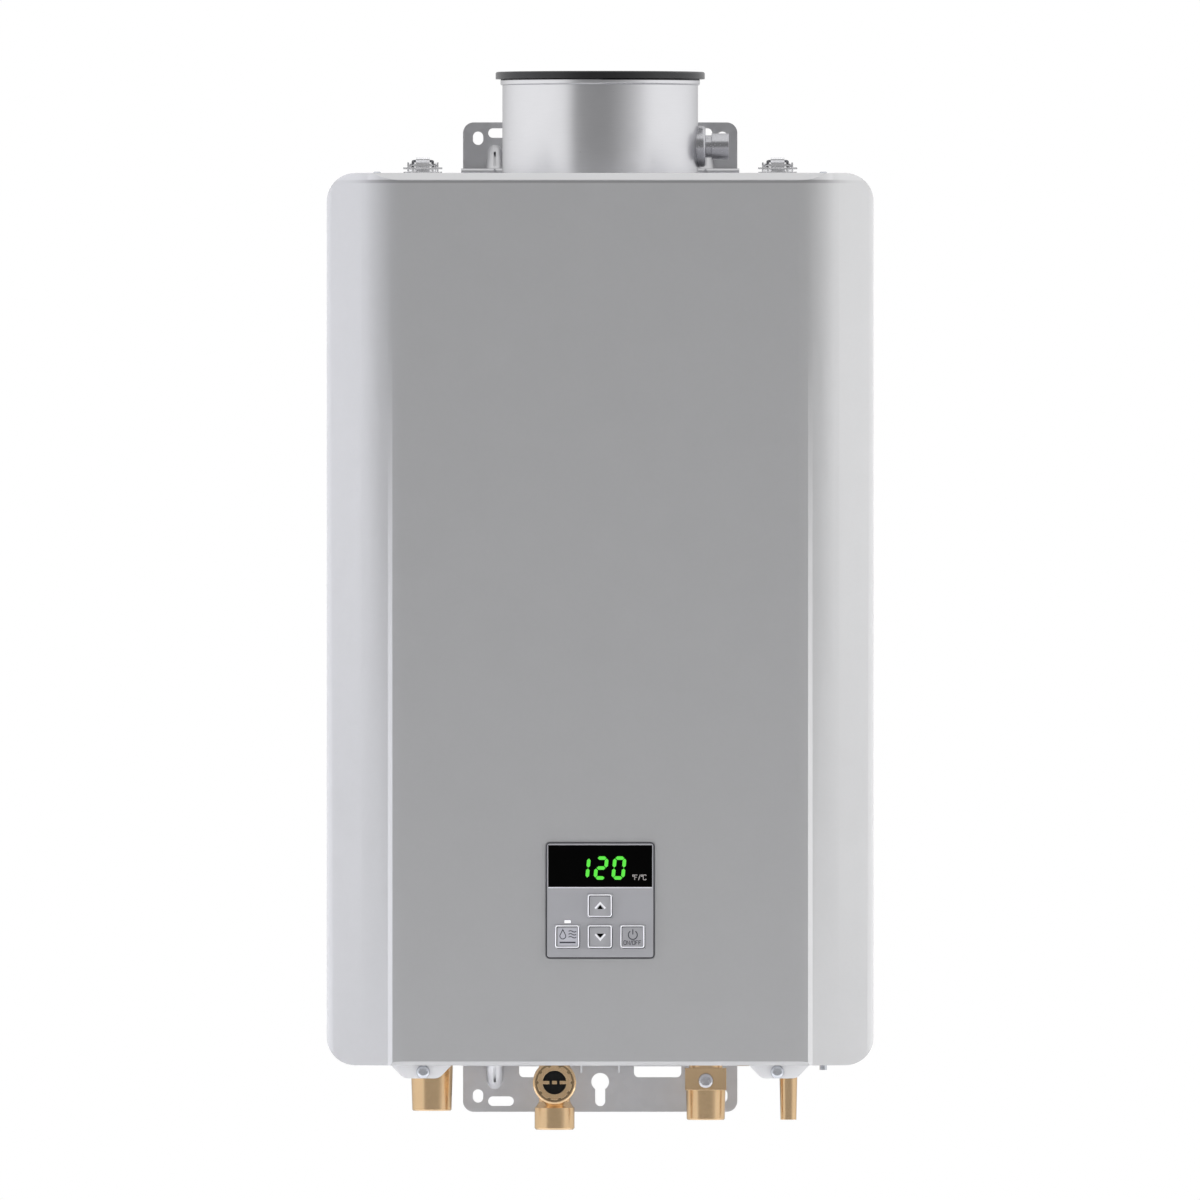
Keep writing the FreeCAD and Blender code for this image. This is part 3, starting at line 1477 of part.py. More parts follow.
def gas_inlet_fitting():
    """Gas inlet: square block with the test port, tapered male end, and a neck up to the gas valve."""
    corners = [
        ("0", "-gas_drop"),
        ("gas_tip / 2 - tip_bevel", "-gas_drop"),
        ("gas_tip / 2", "-gas_drop + tip_bevel"),
        ("gas_wide / 2", "-gas_block_top - gas_block_high / 2"),
        ("gas_neck / 2", "-gas_block_top - gas_block_high / 2"),
        ("gas_neck / 2", "sheet"),
        ("gas_neck / 2 + nut_step", "sheet"),
        ("gas_neck / 2 + nut_step", "sheet + nut_deep"),
        ("gas_neck / 2", "sheet + nut_deep"),
        ("gas_neck / 2", "gas_rise - nut_deep"),
        ("gas_neck / 2 + nut_step", "gas_rise - nut_deep"),
        ("gas_neck / 2 + nut_step", "gas_rise"),
        ("0", "gas_rise"),
    ]
    stem = turned("gas_stem", corners, ("gas_x", "-joint_y", REAR_LOW))
    half = "gas_block / 2"
    cube = block(
        "gas_cube",
        (f"gas_x - {half}", f"gas_x + {half}"),
        (f"-joint_y - {half}", f"-joint_y + {half}"),
        (f"{REAR_LOW} - gas_block_top - gas_block_high", f"{REAR_LOW} - gas_block_top"),
    )
    solid = fuse("gas_solid", stem, cube)
    low = f"{REAR_LOW} - gas_drop - 1"
    bore = rod("gas_bore_tool", "Z", ("gas_x", "-joint_y", low), "gas_bore", "gas_drop + gas_rise + 2")
    port = rod("test_port", "Y", ("gas_x", f"-joint_y - {half} - 1", TEST_Z), "test_screw_shank", f"{half} + 1")
    return node("gas_inlet_fitting", cut("gas_cut", solid, bore, port))


def gas_test_screw():
    """Zinc screw that closes the gas test port."""
    sizes = ("test_screw", "test_screw_head", "test_screw_shank", "test_screw_long")
    made = screw("test_screw_whole", *sizes, True)
    made.Placement = FreeCAD.Placement(V(), FreeCAD.Rotation(V(0, 1, 0), 45) * FACING_FRONT)
    return node("gas_test_screw", place(made, "gas_x", "-joint_y - gas_block / 2", TEST_Z))


def drain_tail():
    """Small brass tail of the drain, with its collar inside the case."""
    corners = [
        ("drain_bore / 2", "-drain_drop"),
        ("drain_tip / 2", "-drain_drop"),
        ("drain_wide / 2", "-4"),
        ("drain_wide / 2", "sheet"),
        ("drain_wide / 2 + nut_step", "sheet"),
        ("drain_wide / 2 + nut_step", "sheet + nut_deep"),
        ("drain_bore / 2", "sheet + nut_deep"),
    ]
    return node("drain_tail", turned("drain_body", corners, (DRAIN_X, "-joint_y", REAR_LOW)))


def cable_gland():
    """Gland in the case's floor, where the supply lead would come in."""
    corners = [
        ("gland_bore / 2", "-gland_drop"),
        ("gland_wide / 2 - 1.5", "-gland_drop"),
        ("gland_wide / 2", "-gland_drop + 1.5"),
        ("gland_wide / 2", "sheet"),
        ("gland_wide / 2 + nut_step", "sheet"),
        ("gland_wide / 2 + nut_step", "sheet + nut_deep"),
        ("gland_bore / 2", "sheet + nut_deep"),
    ]
    return node("cable_gland", turned("gland_body", corners, (GLAND_X, "-joint_y / 2", REAR_LOW)))


# Controller


def control_box(name, half_x, low, high, y_front, y_back):
    """Box centred on the controller's middle line; heights count from its centre."""
    return block(name, (f"-({half_x})", half_x), (y_front, y_back), (f"{CONTROL_Z} + {low}", f"{CONTROL_Z} + {high}"))


def button_spots():
    """Name, x and z of each button's centre."""
    low = f"{CONTROL_Z} - button_drop - button_pitch_z"
    return [
        ("button_up", "0", f"{CONTROL_Z} - button_drop"),
        ("button_down", "0", low),
        ("button_select", "-button_pitch_x", low),
        ("button_power", "button_pitch_x", low),
    ]


def button_block(name, x, z, grow, y_front, y_back):
    """Box of a button's outline, grown by an amount on each side."""
    wide = f"(button_wide / 2 + {grow})"
    high = f"(button_high / 2 + {grow})"
    return block(name, (f"{x} - {wide}", f"{x} + {wide}"), (y_front, y_back), (f"{z} - {high}", f"{z} + {high}"))


def controller_bezel():
    """Frame set in the cover's cut-out, held by a flange behind it, with the display's recess and button holes."""
    half = "control_wide / 2"
    tall = "control_high / 2"
    deep = f"{FRONT} + control_deep"
    ends = (f"{CONTROL_Z} - {tall}", f"{CONTROL_Z} + {tall}")
    depth = f"{deep} - ({CONTROL_FACE})"
    frame = rounded_slab("bezel_frame", half, *ends, f"-({deep})", depth, "control_round")
    flange = control_box(
        "bezel_flange",
        f"{half} + control_flange",
        f"-({tall} + control_flange)",
        f"{tall} + control_flange",
        f"{FRONT} + sheet",
        f"{FRONT} + sheet + flange_thick",
    )
    hollow = control_box(
        "bezel_hollow",
        f"{half} - control_wall",
        f"-({tall} - control_wall)",
        f"{tall} - control_wall",
        PLATE_BACK,
        f"{deep} + 1",
    )
    glass_half = "window_glass / 2 + running"
    glass_tall = "glass_high / 2 + running"
    recess = control_box(
        "glass_recess",
        glass_half,
        f"glass_up - ({glass_tall})",
        f"glass_up + {glass_tall}",
        f"{CONTROL_FACE} - 1",
        f"{CONTROL_FACE} + glass_thick",
    )
    opening = control_box(
        "glass_opening",
        "window_glass / 2 - glass_margin",
        "glass_up - glass_high / 2 + glass_margin",
        "glass_up + glass_high / 2 - glass_margin",
        f"{CONTROL_FACE} - 1",
        f"{PLATE_BACK} + 1",
    )
    tools = [hollow, recess, opening]
    for name, x, z in button_spots():
        tools.append(button_block(name + "_hole", x, z, "button_gap", f"{CONTROL_FACE} - 1", f"{PLATE_BACK} + 1"))
    tools.append(led_block("led_hole", f"{CONTROL_FACE} - 1", f"{PLATE_BACK} + 1"))
    return node("controller_bezel", cut("bezel_cut", fuse("bezel_solid", frame, flange), *tools))


def led_block(name, y_front, y_back):
    """Box of the light bar's outline, over the select button."""
    z = f"{CONTROL_Z} - led_drop"
    xs = ("-button_pitch_x - led_wide / 2", "-button_pitch_x + led_wide / 2")
    return block(name, xs, (y_front, y_back), (f"{z} - led_high / 2", f"{z} + led_high / 2"))


def display_window():
    """Dark glass set flush in the bezel."""
    low = "glass_up - glass_high / 2"
    high = "glass_up + glass_high / 2"
    made = control_box("glass", "window_glass / 2", low, high, CONTROL_FACE, f"{CONTROL_FACE} + glass_thick")
    return node("display_window", made)


def buttons():
    """Each button: dished cap, retaining flange behind the plate, and the stem that presses its switch."""
    for name, x, z in button_spots():
        face = f"{CONTROL_FACE} - button_proud"
        flange = f"{PLATE_BACK} + hole_gap"
        back = f"{flange} + button_flange"
        cap = button_block(name + "_cap", x, z, "0", face, flange)
        dish = button_block(name + "_dish", x, z, "-button_rim", f"{face} - 1", f"{face} + button_dish")
        rim = button_block(name + "_rim", x, z, "rim_step", flange, back)
        stem = rod(name + "_stem", "Y", (x, back, z), "stem_wide", "button_stem")
        node(name, fuse(name + "_whole", cut(name + "_dished", cap, dish), rim, stem))


def status_led():
    """Light bar above the select button."""
    return node("status_led", led_block("led_bar", f"{CONTROL_FACE} - 0.2", f"{PLATE_BACK} + 3"))


def button_board():
    """Circuit board of the controller: the board, four tact switches and the display module."""
    pressed = f"{PLATE_BACK} + hole_gap + button_flange + button_stem + button_travel + hole_gap"
    front = f"{pressed} + switch_high"
    half = "control_wide / 2 - control_wall"
    tall = "control_high / 2 - control_wall"
    board = control_box("board_plate", half, f"-({tall})", tall, front, f"{front} + board_thick")
    pieces = [board]
    for name, x, z in button_spots():
        xs = (f"{x} - switch_wide / 2", f"{x} + switch_wide / 2")
        zs = (f"{z} - switch_wide / 2", f"{z} + switch_wide / 2")
        base = block(f"{name}_switch", xs, (f"{pressed} + button_travel", front), zs)
        top = rod(f"{name}_plunger", "Y", (x, pressed, z), "switch_plunger", "button_travel + 0.2")
        pieces.append(fuse(f"{name}_tact", base, top))
    low = "glass_up - glass_high / 2 + glass_margin + 1"
    high = "glass_up + glass_high / 2 - glass_margin - 1"
    wide = "window_glass / 2 - glass_margin - 1"
    pieces.append(control_box("display_module", wide, low, high, f"{PLATE_BACK} + 1", front))
    return node("button_board", group("board_set", *pieces))


# Heat exchanger and burner


def core_box(name, inset, low, high):
    """Box on the exchanger's footprint, drawn in by an inset."""
    half_x = f"(core_wide / 2 - {inset})"
    half_y = f"(core_deep / 2 - {inset})"
    return block(name, (f"-{half_x}", half_x), (f"-flue_y - {half_y}", f"-flue_y + {half_y}"), (low, high))


def tube_rows():
    """Y offset of each of the four tube passes from the flue's axis, rear one first."""
    return [f"(tube_pitch * {step})" for step in (1.5, 0.5, -0.5, -1.5)]


def exchanger_jacket():
    """Copper shell round the fins and the flame, with two feet to the case's back."""
    outer = core_box("jacket_outer", "0", CORE_LOW, CORE_TOP)
    inner = core_box("jacket_inner", "sheet", f"{CORE_LOW} - 1", f"{CORE_TOP} + 1")
    holes = []
    for row in tube_rows():
        start = ("-core_wide / 2 - 1", f"-flue_y + {row}", TUBE_Z)
        holes.append(rod("jacket_tube_hole", "X", start, "tube", "core_wide + 2"))
    feet = []
    for side in (-1, 1):
        x = f"{side} * (core_wide / 2 - 2 * foot_wide)"
        feet.append(
            block(
                "jacket_foot",
                (f"{x} - foot_wide / 2", f"{x} + foot_wide / 2"),
                ("-flue_y + core_deep / 2 - sheet / 2", INNER_BACK),
                (CORE_LOW, f"{CORE_LOW} + foot_high"),
            )
        )
    shell = cut("jacket_shell", outer, inner, *holes)
    return node("exchanger_jacket", fuse("jacket_whole", shell, *feet))


def exchanger_fins():
    """Pack of copper fins pierced by the tubes."""
    thick = value("fin_thick")
    deep = value("core_deep - 2 * sheet")
    low = value(f"{TUBE_Z} - fin_high / 2")
    plate = Part.makeBox(thick, deep, value("fin_high"), V(0, -value("flue_y") - deep / 2, low))
    for row in tube_rows():
        start = V(-1, value(f"-flue_y + {row}"), value(TUBE_Z))
        plate = plate.cut(Part.makeCylinder(value("tube / 2"), thick + 2, start, V(1, 0, 0)))
    count = int(value("fin_count"))
    pitch = value(FIN_PITCH)
    plates = []
    for k in range(count):
        fin = plate.copy()
        fin.translate(V((k - (count - 1) / 2) * pitch - thick / 2, 0, 0))
        plates.append(fin)
    return node("exchanger_fins", shaped("fins", Part.makeCompound(plates)))


def exchanger_tubes():
    """One serpentine copper tube through the fins, four passes."""
    rows = [value(f"-flue_y + {row}") for row in tube_rows()]
    z = value(TUBE_Z)
    turn_x = value("core_wide / 2 + tube_bend")
    end_x = -value(TUBE_END)
    points = [V(end_x, rows[0], z)]
    for k in range(3):
        x = turn_x if k % 2 == 0 else -turn_x
        points += [V(x, rows[k], z), V(x, rows[k + 1], z)]
    points.append(V(end_x, rows[3], z))
    return node("exchanger_tubes", pipe("tubes", points, [value("tube_pitch / 2") * 0.999] * 6))


def exhaust_hood():
    """Hood that gathers the flue gas into the inner pipe."""
    outer = core_box("hood_outer", "0", CORE_TOP, HOOD_TOP)
    inner = core_box("hood_inner", "sheet", f"{CORE_TOP} - 1", f"{HOOD_TOP} - sheet")
    neck_wide = "flue_wide - 2 * flue_wall - 2 * running"
    neck = rod("hood_neck", "Z", ("0", "-flue_y", f"{HOOD_TOP} - sheet"), neck_wide, "sheet + neck_high")
    start = ("0", "-flue_y", f"{HOOD_TOP} - 2 * sheet")
    throat = rod("hood_throat", "Z", start, f"{neck_wide} - 2 * sheet", "neck_high + 4 * sheet")
    box = cut("hood_box", outer, inner)
    return node("exhaust_hood", cut("hood_cut", fuse("hood_solid", box, neck), throat))


def rod_spots():
    """X of the igniter and the two flame rods."""
    return [f"(rod_pitch * {k})" for k in (-1, 0, 1)]


def nozzle_spots():
    """X of each burner bar and its nozzle."""
    middle = (value("bar_count") - 1) / 2
    return [f"({BAR_PITCH} * {k - middle})" for k in range(int(value("bar_count")))]


def burner_box():
    """Box under the exchanger that carries the burner bars; the blower feeds it from below."""
    outer = core_box("burner_outer", "0", BURNER_LOW, CORE_LOW)
    inner = core_box("burner_inner", "sheet", f"{BURNER_LOW} + sheet", f"{CORE_LOW} + 1")
    wall = "-flue_y - core_deep / 2"
    nozzle_z = f"{BURNER_LOW} + manifold_rise + manifold_high / 2"
    tools = [inner, blower_outlet_block("burner_port", "sheet", f"{BURNER_LOW} - 1", f"{BURNER_LOW} + 2 * sheet")]
    for x in nozzle_spots():
        tools.append(rod("nozzle_hole", "Y", (x, f"{wall} - 1", nozzle_z), "nozzle + 1", "sheet + 2"))
    for x in rod_spots():
        tools.append(rod("electrode_hole", "Y", (x, f"{wall} - 1", f"{CORE_LOW} - rod_drop"), "sleeve_wide", "sheet + 2"))
    return node("burner_box", cut("burner_cut", outer, *tools))


def burner_bars():
    """Slim stainless burner bars, side by side from the front wall to the back one."""
    half_y = "(core_deep / 2 - sheet)"
    pieces = []
    for x in nozzle_spots():
        pieces.append(
            block(
                "burner_bar",
                (f"{x} - bar_thick / 2", f"{x} + bar_thick / 2"),
                (f"-flue_y - {half_y}", f"-flue_y + {half_y}"),
                (f"{BURNER_LOW} + bar_rise", f"{BURNER_LOW} + bar_rise + bar_high"),
            )
        )
    return node("burner_bars", group("bar_set", *pieces))


def gas_manifold():
    """Gas rail with one nozzle for each burner bar."""
    wall = "(-flue_y - core_deep / 2)"
    half = f"{BAR_PITCH} * bar_count / 2 - 4"
    low = f"{BURNER_LOW} + manifold_rise"
    rail = block(
        "rail",
        (f"-({half})", half),
        (f"{wall} - manifold_gap - manifold_deep", f"{wall} - manifold_gap"),
        (low, f"{low} + manifold_high"),
    )
    nozzles = []
    for x in nozzle_spots():
        start = (x, f"{wall} - manifold_gap - 1", f"{low} + manifold_high / 2")
        nozzles.append(rod("nozzle_tip", "Y", start, "nozzle", "manifold_gap + sheet + 1"))
    solid = fuse("manifold_solid", rail, *nozzles)
    start = (f"-({half}) + 3", f"{wall} - manifold_gap - manifold_deep / 2", f"{low} + manifold_high / 2")
    duct = rod("manifold_duct", "X", start, "manifold_bore", f"2 * ({half}) - 6")
    return node("gas_manifold", cut("manifold_cut", solid, duct))


def flame_electrodes():
    """Igniter and two flame rods in ceramic sleeves."""
    wall = "(-flue_y - core_deep / 2)"
    z = f"{CORE_LOW} - rod_drop"
    pieces = []
    for x in rod_spots():
        sleeve = rod("sleeve", "Y", (x, f"{wall} - sleeve_out", z), "sleeve_wide", "sleeve_long")
        start = (x, f"{wall} - sleeve_out + sleeve_long - 1", z)
        tip = rod("electrode", "Y", start, "electrode_wide", "electrode_long")
        pieces.append(fuse("electrode_set", sleeve, tip))
    return node("flame_electrodes", group("electrodes", *pieces))


# Blower


def blower_outlet_block(name, inset, low, high):
    """Box on the blower outlet's footprint."""
    right = "-blower_x + blower_wide / 2"
    deep = "(blower_deep / 2)"
    return block(
        name,
        (f"{right} - blower_outlet + {inset}", f"{right} - {inset}"),
        (f"-flue_y - {deep} + {inset}", f"-flue_y + {deep} - {inset}"),
        (low, high),
    )


def blower_housing():
    """Scroll housing with its inlet in front and its outlet up into the burner box."""
    front = "-flue_y - blower_deep / 2"
    drum = rod("scroll_drum", "Y", ("-blower_x", front, BLOWER_Z), "blower_wide", "blower_deep")
    duct = blower_outlet_block("scroll_duct", "0", BLOWER_Z, BURNER_LOW)
    start = ("-blower_x", f"{front} + scroll_wall", BLOWER_Z)
    room = rod("scroll_room", "Y", start, "blower_wide - 2 * scroll_wall", "blower_deep - 2 * scroll_wall")
    throat = blower_outlet_block("scroll_throat", "scroll_wall", BLOWER_Z, f"{BURNER_LOW} + 1")
    inlet = rod("scroll_inlet", "Y", ("-blower_x", f"{front} - 1", BLOWER_Z), "inlet_wide", "4")
    shaft = rod("scroll_shaft_hole", "Y", ("-blower_x", "-flue_y", BLOWER_Z), "fan_shaft + 4", "blower_deep")
    return node("blower_housing", cut("scroll_cut", fuse("scroll_solid", drum, duct), room, throat, inlet, shaft))


def blower_impeller():
    """Squirrel-cage impeller with its shaft: back disc, blades and front ring."""
    made = doc.addObject("PartDesign::Body", "impeller")
    disc = sketch(made, "XY_Plane")
    circle(disc, "0", "0", "fan_wide")
    pad(made, disc, "2")
    shaft = sketch(made, "XY_Plane", "-blower_deep * 0.42")
    circle(shaft, "0", "0", "fan_shaft")
    pad(made, shaft, "blower_deep * 0.42 + 4")
    drawn = sketch(made, "XY_Plane", "1")
    outer = "fan_wide / 2 - 0.5"
    inner = f"{outer} - blade_long"
    half = "blade_thick / 2"
    outline(drawn, [(inner, f"-{half}"), (outer, f"-{half}"), (outer, half), (inner, half)])
    blade = pad(made, drawn, "fan_deep - 2")
    doc.recompute()
    spread = made.newObject("PartDesign::PolarPattern", "fan_spread")
    spread.Originals = [blade]
    spread.Axis = (drawn, ["N_Axis"])
    spread.Angle = 360
    bind(spread, Occurrences="fan_blades")
    made.Tip = spread
    doc.recompute()
    ring = sketch(made, "XY_Plane", "fan_deep - 2")
    circle(ring, "0", "0", "fan_wide")
    circle(ring, "0", "0", "fan_wide - 2 * blade_long - 4")
    pad(made, ring, "2")
    made.Placement = FreeCAD.Placement(V(), FACING_FRONT)
    place(made, "-blower_x", "-flue_y + fan_deep / 2", BLOWER_Z)
    return node("blower_impeller", made)


def blower_motor():
    """Motor on the housing's back, with the shaft's bearing bore."""
    back = "-flue_y + blower_deep / 2"
    body = rod("motor_body", "Y", ("-blower_x", back, BLOWER_Z), "motor_wide", "motor_deep")
    bore = rod("motor_bore", "Y", ("-blower_x", f"{back} - 1", BLOWER_Z), "fan_shaft + 2 * running", "motor_deep * 0.8")
    return node("blower_motor", cut("motor_cut", body, bore))


# Gas valve


def can_z(step):
    """Height of the lower (0) and upper (1) solenoid."""
    return f"({VALVE_LOW} + can_rise + can_pitch * {step})"


def gas_valve_body():
    """Die-cast valve with two solenoid cans on its right side."""
    half_x = "valve_wide / 2"
    half_y = "valve_deep / 2"
    cast = block(
        "valve_cast",
        (f"gas_x - {half_x}", f"gas_x + {half_x}"),
        (f"-joint_y - {half_y}", f"-joint_y + {half_y}"),
        (VALVE_LOW, f"{VALVE_LOW} + valve_high"),
    )
    solids = [cast]
    tools = []
    face = f"gas_x + {half_x}"
    for step in (0, 1):
        solids.append(rod("valve_can", "X", (f"{face} - 1", "-joint_y", can_z(step)), "can_wide", "can_long + 1"))
        start = (f"{face} - bore_in", "-joint_y", can_z(step))
        tools.append(rod("plunger_bore", "X", start, "plunger + 2 * running", "plunger_long + bore_in"))
    tools.append(rod("valve_inlet", "Z", ("gas_x", "-joint_y", f"{VALVE_LOW} - 1"), "gas_bore", "12"))
    tools.append(rod("valve_outlet", "Z", ("gas_x", "-joint_y", f"{VALVE_LOW} + valve_high - 10"), "tube_bore", "12"))
    return node("gas_valve_body", cut("valve_cut", fuse("valve_solid", *solids), *tools))


def valve_plungers():
    """Steel plungers of the shut-off and the modulating solenoid."""
    start_x = "gas_x + valve_wide / 2 - plunger_in"
    for label, step in (("shutoff_plunger", 0), ("modulating_plunger", 1)):
        node(label, rod(label + "_bar", "X", (start_x, "-joint_y", can_z(step)), "plunger", "plunger_long"))


def gas_pipe():
    """Tube from the gas valve up and forward to the manifold."""
    x = value("gas_x")
    rail_y = value("-flue_y - core_deep / 2 - manifold_gap - manifold_deep / 2")
    top = value(f"{BURNER_LOW} + manifold_rise")
    start = value(f"{VALVE_LOW} + valve_high")
    mid = (start + top) / 2
    points = [V(x, -value("joint_y"), start), V(x, -value("joint_y"), mid), V(x, rail_y, mid), V(x, rail_y, top)]
    return node("gas_pipe", pipe("gas_tube", points, [value("pipe_bend")] * 2))


# Water side


def flow_sensor_body():
    """Sensor tube with a bearing bridge at each end of the turbine."""
    corners = [
        ("water_bore / 2 + hole_gap", "0"),
        ("sensor_wide / 2 + end_step", "0"),
        ("sensor_wide / 2 + end_step", "end_high"),
        ("sensor_wide / 2", "end_high"),
        ("sensor_wide / 2", "sensor_high - end_high"),
        ("sensor_wide / 2 + end_step", "sensor_high - end_high"),
        ("sensor_wide / 2 + end_step", "sensor_high"),
        ("water_bore / 2 + hole_gap", "sensor_high"),
    ]
    tube = turned("sensor_tube", corners, ("-cold_x", "-joint_y", SENSOR_LOW))
    solids = [tube]
    half = "water_bore / 2 + 1"
    for low in ("end_high", "sensor_high - end_high - bridge_high"):
        level = f"{SENSOR_LOW} + {low}"
        across = (f"-cold_x - {half}", f"-cold_x + {half}")
        deep = ("-joint_y - bridge_thick / 2", "-joint_y + bridge_thick / 2")
        solids.append(block("bearing_bridge", across, deep, (level, f"{level} + bridge_high")))
        solids.append(rod("bearing_hub", "Z", ("-cold_x", "-joint_y", level), "hub_wide", "bridge_high"))
    pin = rod("bearing_bore", "Z", ("-cold_x", "-joint_y", f"{SENSOR_LOW} - 1"), "turbine_pin + 2 * running", "sensor_high + 2")
    return node("flow_sensor_body", cut("sensor_cut", fuse("sensor_solid", *solids), pin))


def flow_turbine():
    """Six-blade turbine on its pin."""
    made = doc.addObject("PartDesign::Body", "turbine")
    pin = sketch(made, "XY_Plane", "end_high + hole_gap")
    circle(pin, "0", "0", "turbine_pin")
    pad(made, pin, "sensor_high - 2 * (end_high + hole_gap)")
    low = "(end_high + bridge_high + hole_gap)"
    hub = sketch(made, "XY_Plane", low)
    circle(hub, "0", "0", "hub_wide")
    pad(made, hub, f"sensor_high - 2 * {low}")
    drawn = sketch(made, "XY_Plane", f"{low} + 1")
    outline(
        drawn,
        [("2", "-0.4"), ("turbine_wide / 2", "-0.4"), ("turbine_wide / 2", "0.4"), ("2", "0.4")],
    )
    blade = pad(made, drawn, f"sensor_high - 2 * ({low} + 1)")
    doc.recompute()
    spread = made.newObject("PartDesign::PolarPattern", "turbine_spread")
    spread.Originals = [blade]
    spread.Axis = (drawn, ["N_Axis"])
    spread.Angle = 360
    spread.Occurrences = 6
    made.Tip = spread
    place(made, "-cold_x", "-joint_y", SENSOR_LOW)
    return node("flow_turbine", made)


def flow_valve_body():
    """Brass block with the water way up through it and the spindle's bore from the front."""
    half_x = "mixer_wide / 2"
    half_y = "mixer_deep / 2"
    brass = block(
        "mixer_brass",
        (f"-cold_x - {half_x}", f"-cold_x + {half_x}"),
        (f"-joint_y - {half_y}", f"-joint_y + {half_y}"),
        (MIXER_LOW, MIXER_TOP),
    )
    way = rod("mixer_way", "Z", ("-cold_x", "-joint_y", f"{MIXER_LOW} - 1"), "tube_bore", "mixer_high + 2")
    start = ("-cold_x", f"-joint_y - {half_y} - 1", f"{MIXER_LOW} + mixer_high / 2")
    bore = rod("spindle_bore", "Y", start, "spindle + 2 * running", "mixer_deep - 4")
    return node("flow_valve_body", cut("mixer_cut", brass, way, bore))


def flow_valve_spindle():
    """Ported spindle that throttles the water, with its stem into the motor."""
    z = f"{MIXER_LOW} + mixer_high / 2"
    front = "-joint_y - mixer_deep / 2"
    plug = rod("spindle_plug", "Y", ("-cold_x", f"{front} + hole_gap", z), "spindle", "mixer_deep - 6")
    stem = rod("spindle_tail", "Y", ("-cold_x", f"{front} - servo_deep / 2", z), "spindle_stem", "servo_deep / 2 + 1")
    port = rod("spindle_port", "Z", ("-cold_x", "-joint_y", f"{z} - spindle"), "tube_bore - 2", "2 * spindle")
    return node("flow_valve_spindle", cut("spindle_cut", fuse("spindle_solid", plug, stem), port))


def flow_valve_motor():
    """Stepper motor on the block's front, round the spindle's stem."""
    z = f"{MIXER_LOW} + mixer_high / 2"
    front = "-joint_y - mixer_deep / 2 - servo_deep"
    body = rod("servo_body", "Y", ("-cold_x", front, z), "servo_wide", "servo_deep")
    bore = rod("servo_bore", "Y", ("-cold_x", f"{front} + servo_deep / 2 - 2", z), "spindle_stem + 2 * running", "servo_deep")
    return node("flow_valve_motor", cut("servo_cut", body, bore))


def cold_pipe():
    """Path of the tube from the flow valve to the exchanger's first pass."""
    x = -value("cold_x")
    y = -value("joint_y")
    side = -value(RISER_X)
    row = value(f"-flue_y + {tube_rows()[0]}")
    low = value(MIXER_TOP)
    end = -value(TUBE_END)
    top = value(TUBE_Z)
    lift = low + value("pipe_bend") + 4
    return [V(x, y, low), V(x, y, lift), V(side, row, lift), V(side, row, top), V(end, row, top)]


def hot_pipe():
    """Path of the tube from the exchanger's last pass down to the hot outlet."""
    side = -value(RISER_X)
    row = value(f"-flue_y + {tube_rows()[3]}")
    top = value(TUBE_Z)
    end = -value(TUBE_END)
    foot_x = -value(HOT_X)
    foot_y = -value("joint_y")
    foot = value(f"{REAR_LOW} + hot_rise")
    level = foot + value("pipe_bend") + 20
    return [
        V(end, row, top),
        V(side, row, top),
        V(side, row, level),
        V(foot_x, foot_y, level),
        V(foot_x, foot_y, foot),
    ]


def water_pipes():
    """The two copper tubes that join the exchanger to the water connections."""
    bends = [value("pipe_bend")] * 3
    pair = [pipe("cold_tube", cold_pipe(), bends), pipe("hot_tube", hot_pipe(), bends)]
    return node("water_pipes", group("water_pipe_pair", *pair))


def riser_tool(name, row, z, long):
    """The riser tube's own space at a height, to fit a clip-on piece to it."""
    return rod(name, "Z", (f"-{RISER_X}", f"-flue_y + {row}", f"{z} - 1"), "tube", f"{long} + 2")


def thermistors():
    """Clip-on temperature sensors, one on each riser."""
    pieces = []
    for row, z in ((tube_rows()[0], f"({CORE_LOW})"), (tube_rows()[3], f"({TUBE_Z} - 50)")):
        bulb = rod("sensor_bulb", "X", (f"-{RISER_X}", f"-flue_y + {row}", z), "bulb_wide", "bulb_long")
        pieces.append(cut("sensor", bulb, riser_tool("sensor_seat", row, f"{z} - bulb_wide", "2 * bulb_wide")))
    return node("thermistors", group("thermistor_pair", *pieces))


def frost_heaters():
    """Ceramic frost heaters clipped to the risers."""
    pieces = []
    z = f"({BLOWER_Z})"
    for row in (tube_rows()[0], tube_rows()[3]):
        y = f"-flue_y + {row}"
        brick = block("heater_brick", (f"-{RISER_X}", f"-{RISER_X} + heater_wide / 2"), (f"{y} - heater_deep / 2", f"{y} + heater_deep / 2"), (z, f"{z} + heater_high"))
        pieces.append(cut("heater", brick, riser_tool("heater_seat", row, z, "heater_high")))
    return node("frost_heaters", group("frost_heater_pair", *pieces))


# Electrics


def spark_unit():
    """Spark unit fixed to the case's back."""
    x = "core_wide / 2 + spark_gap"
    box = block(
        "spark_box",
        (x, f"{x} + spark_wide"),
        (f"{INNER_BACK} - spark_deep", INNER_BACK),
        (f"{CORE_LOW} - spark_drop - spark_high", f"{CORE_LOW} - spark_drop"),
    )
    return node("spark_unit", box)


# Depth, near and far y, low and high z of each part on the main board, as shares of the board
BOARD_PARTS = [
    (0.2, -0.38, -0.08, -0.33, 0.04),
    (0.12, 0.04, 0.38, -0.38, -0.17),
    (0.08, 0, 0.17, 0.08, 0.25),
    (0.15, -0.33, -0.17, 0.17, 0.38),
]


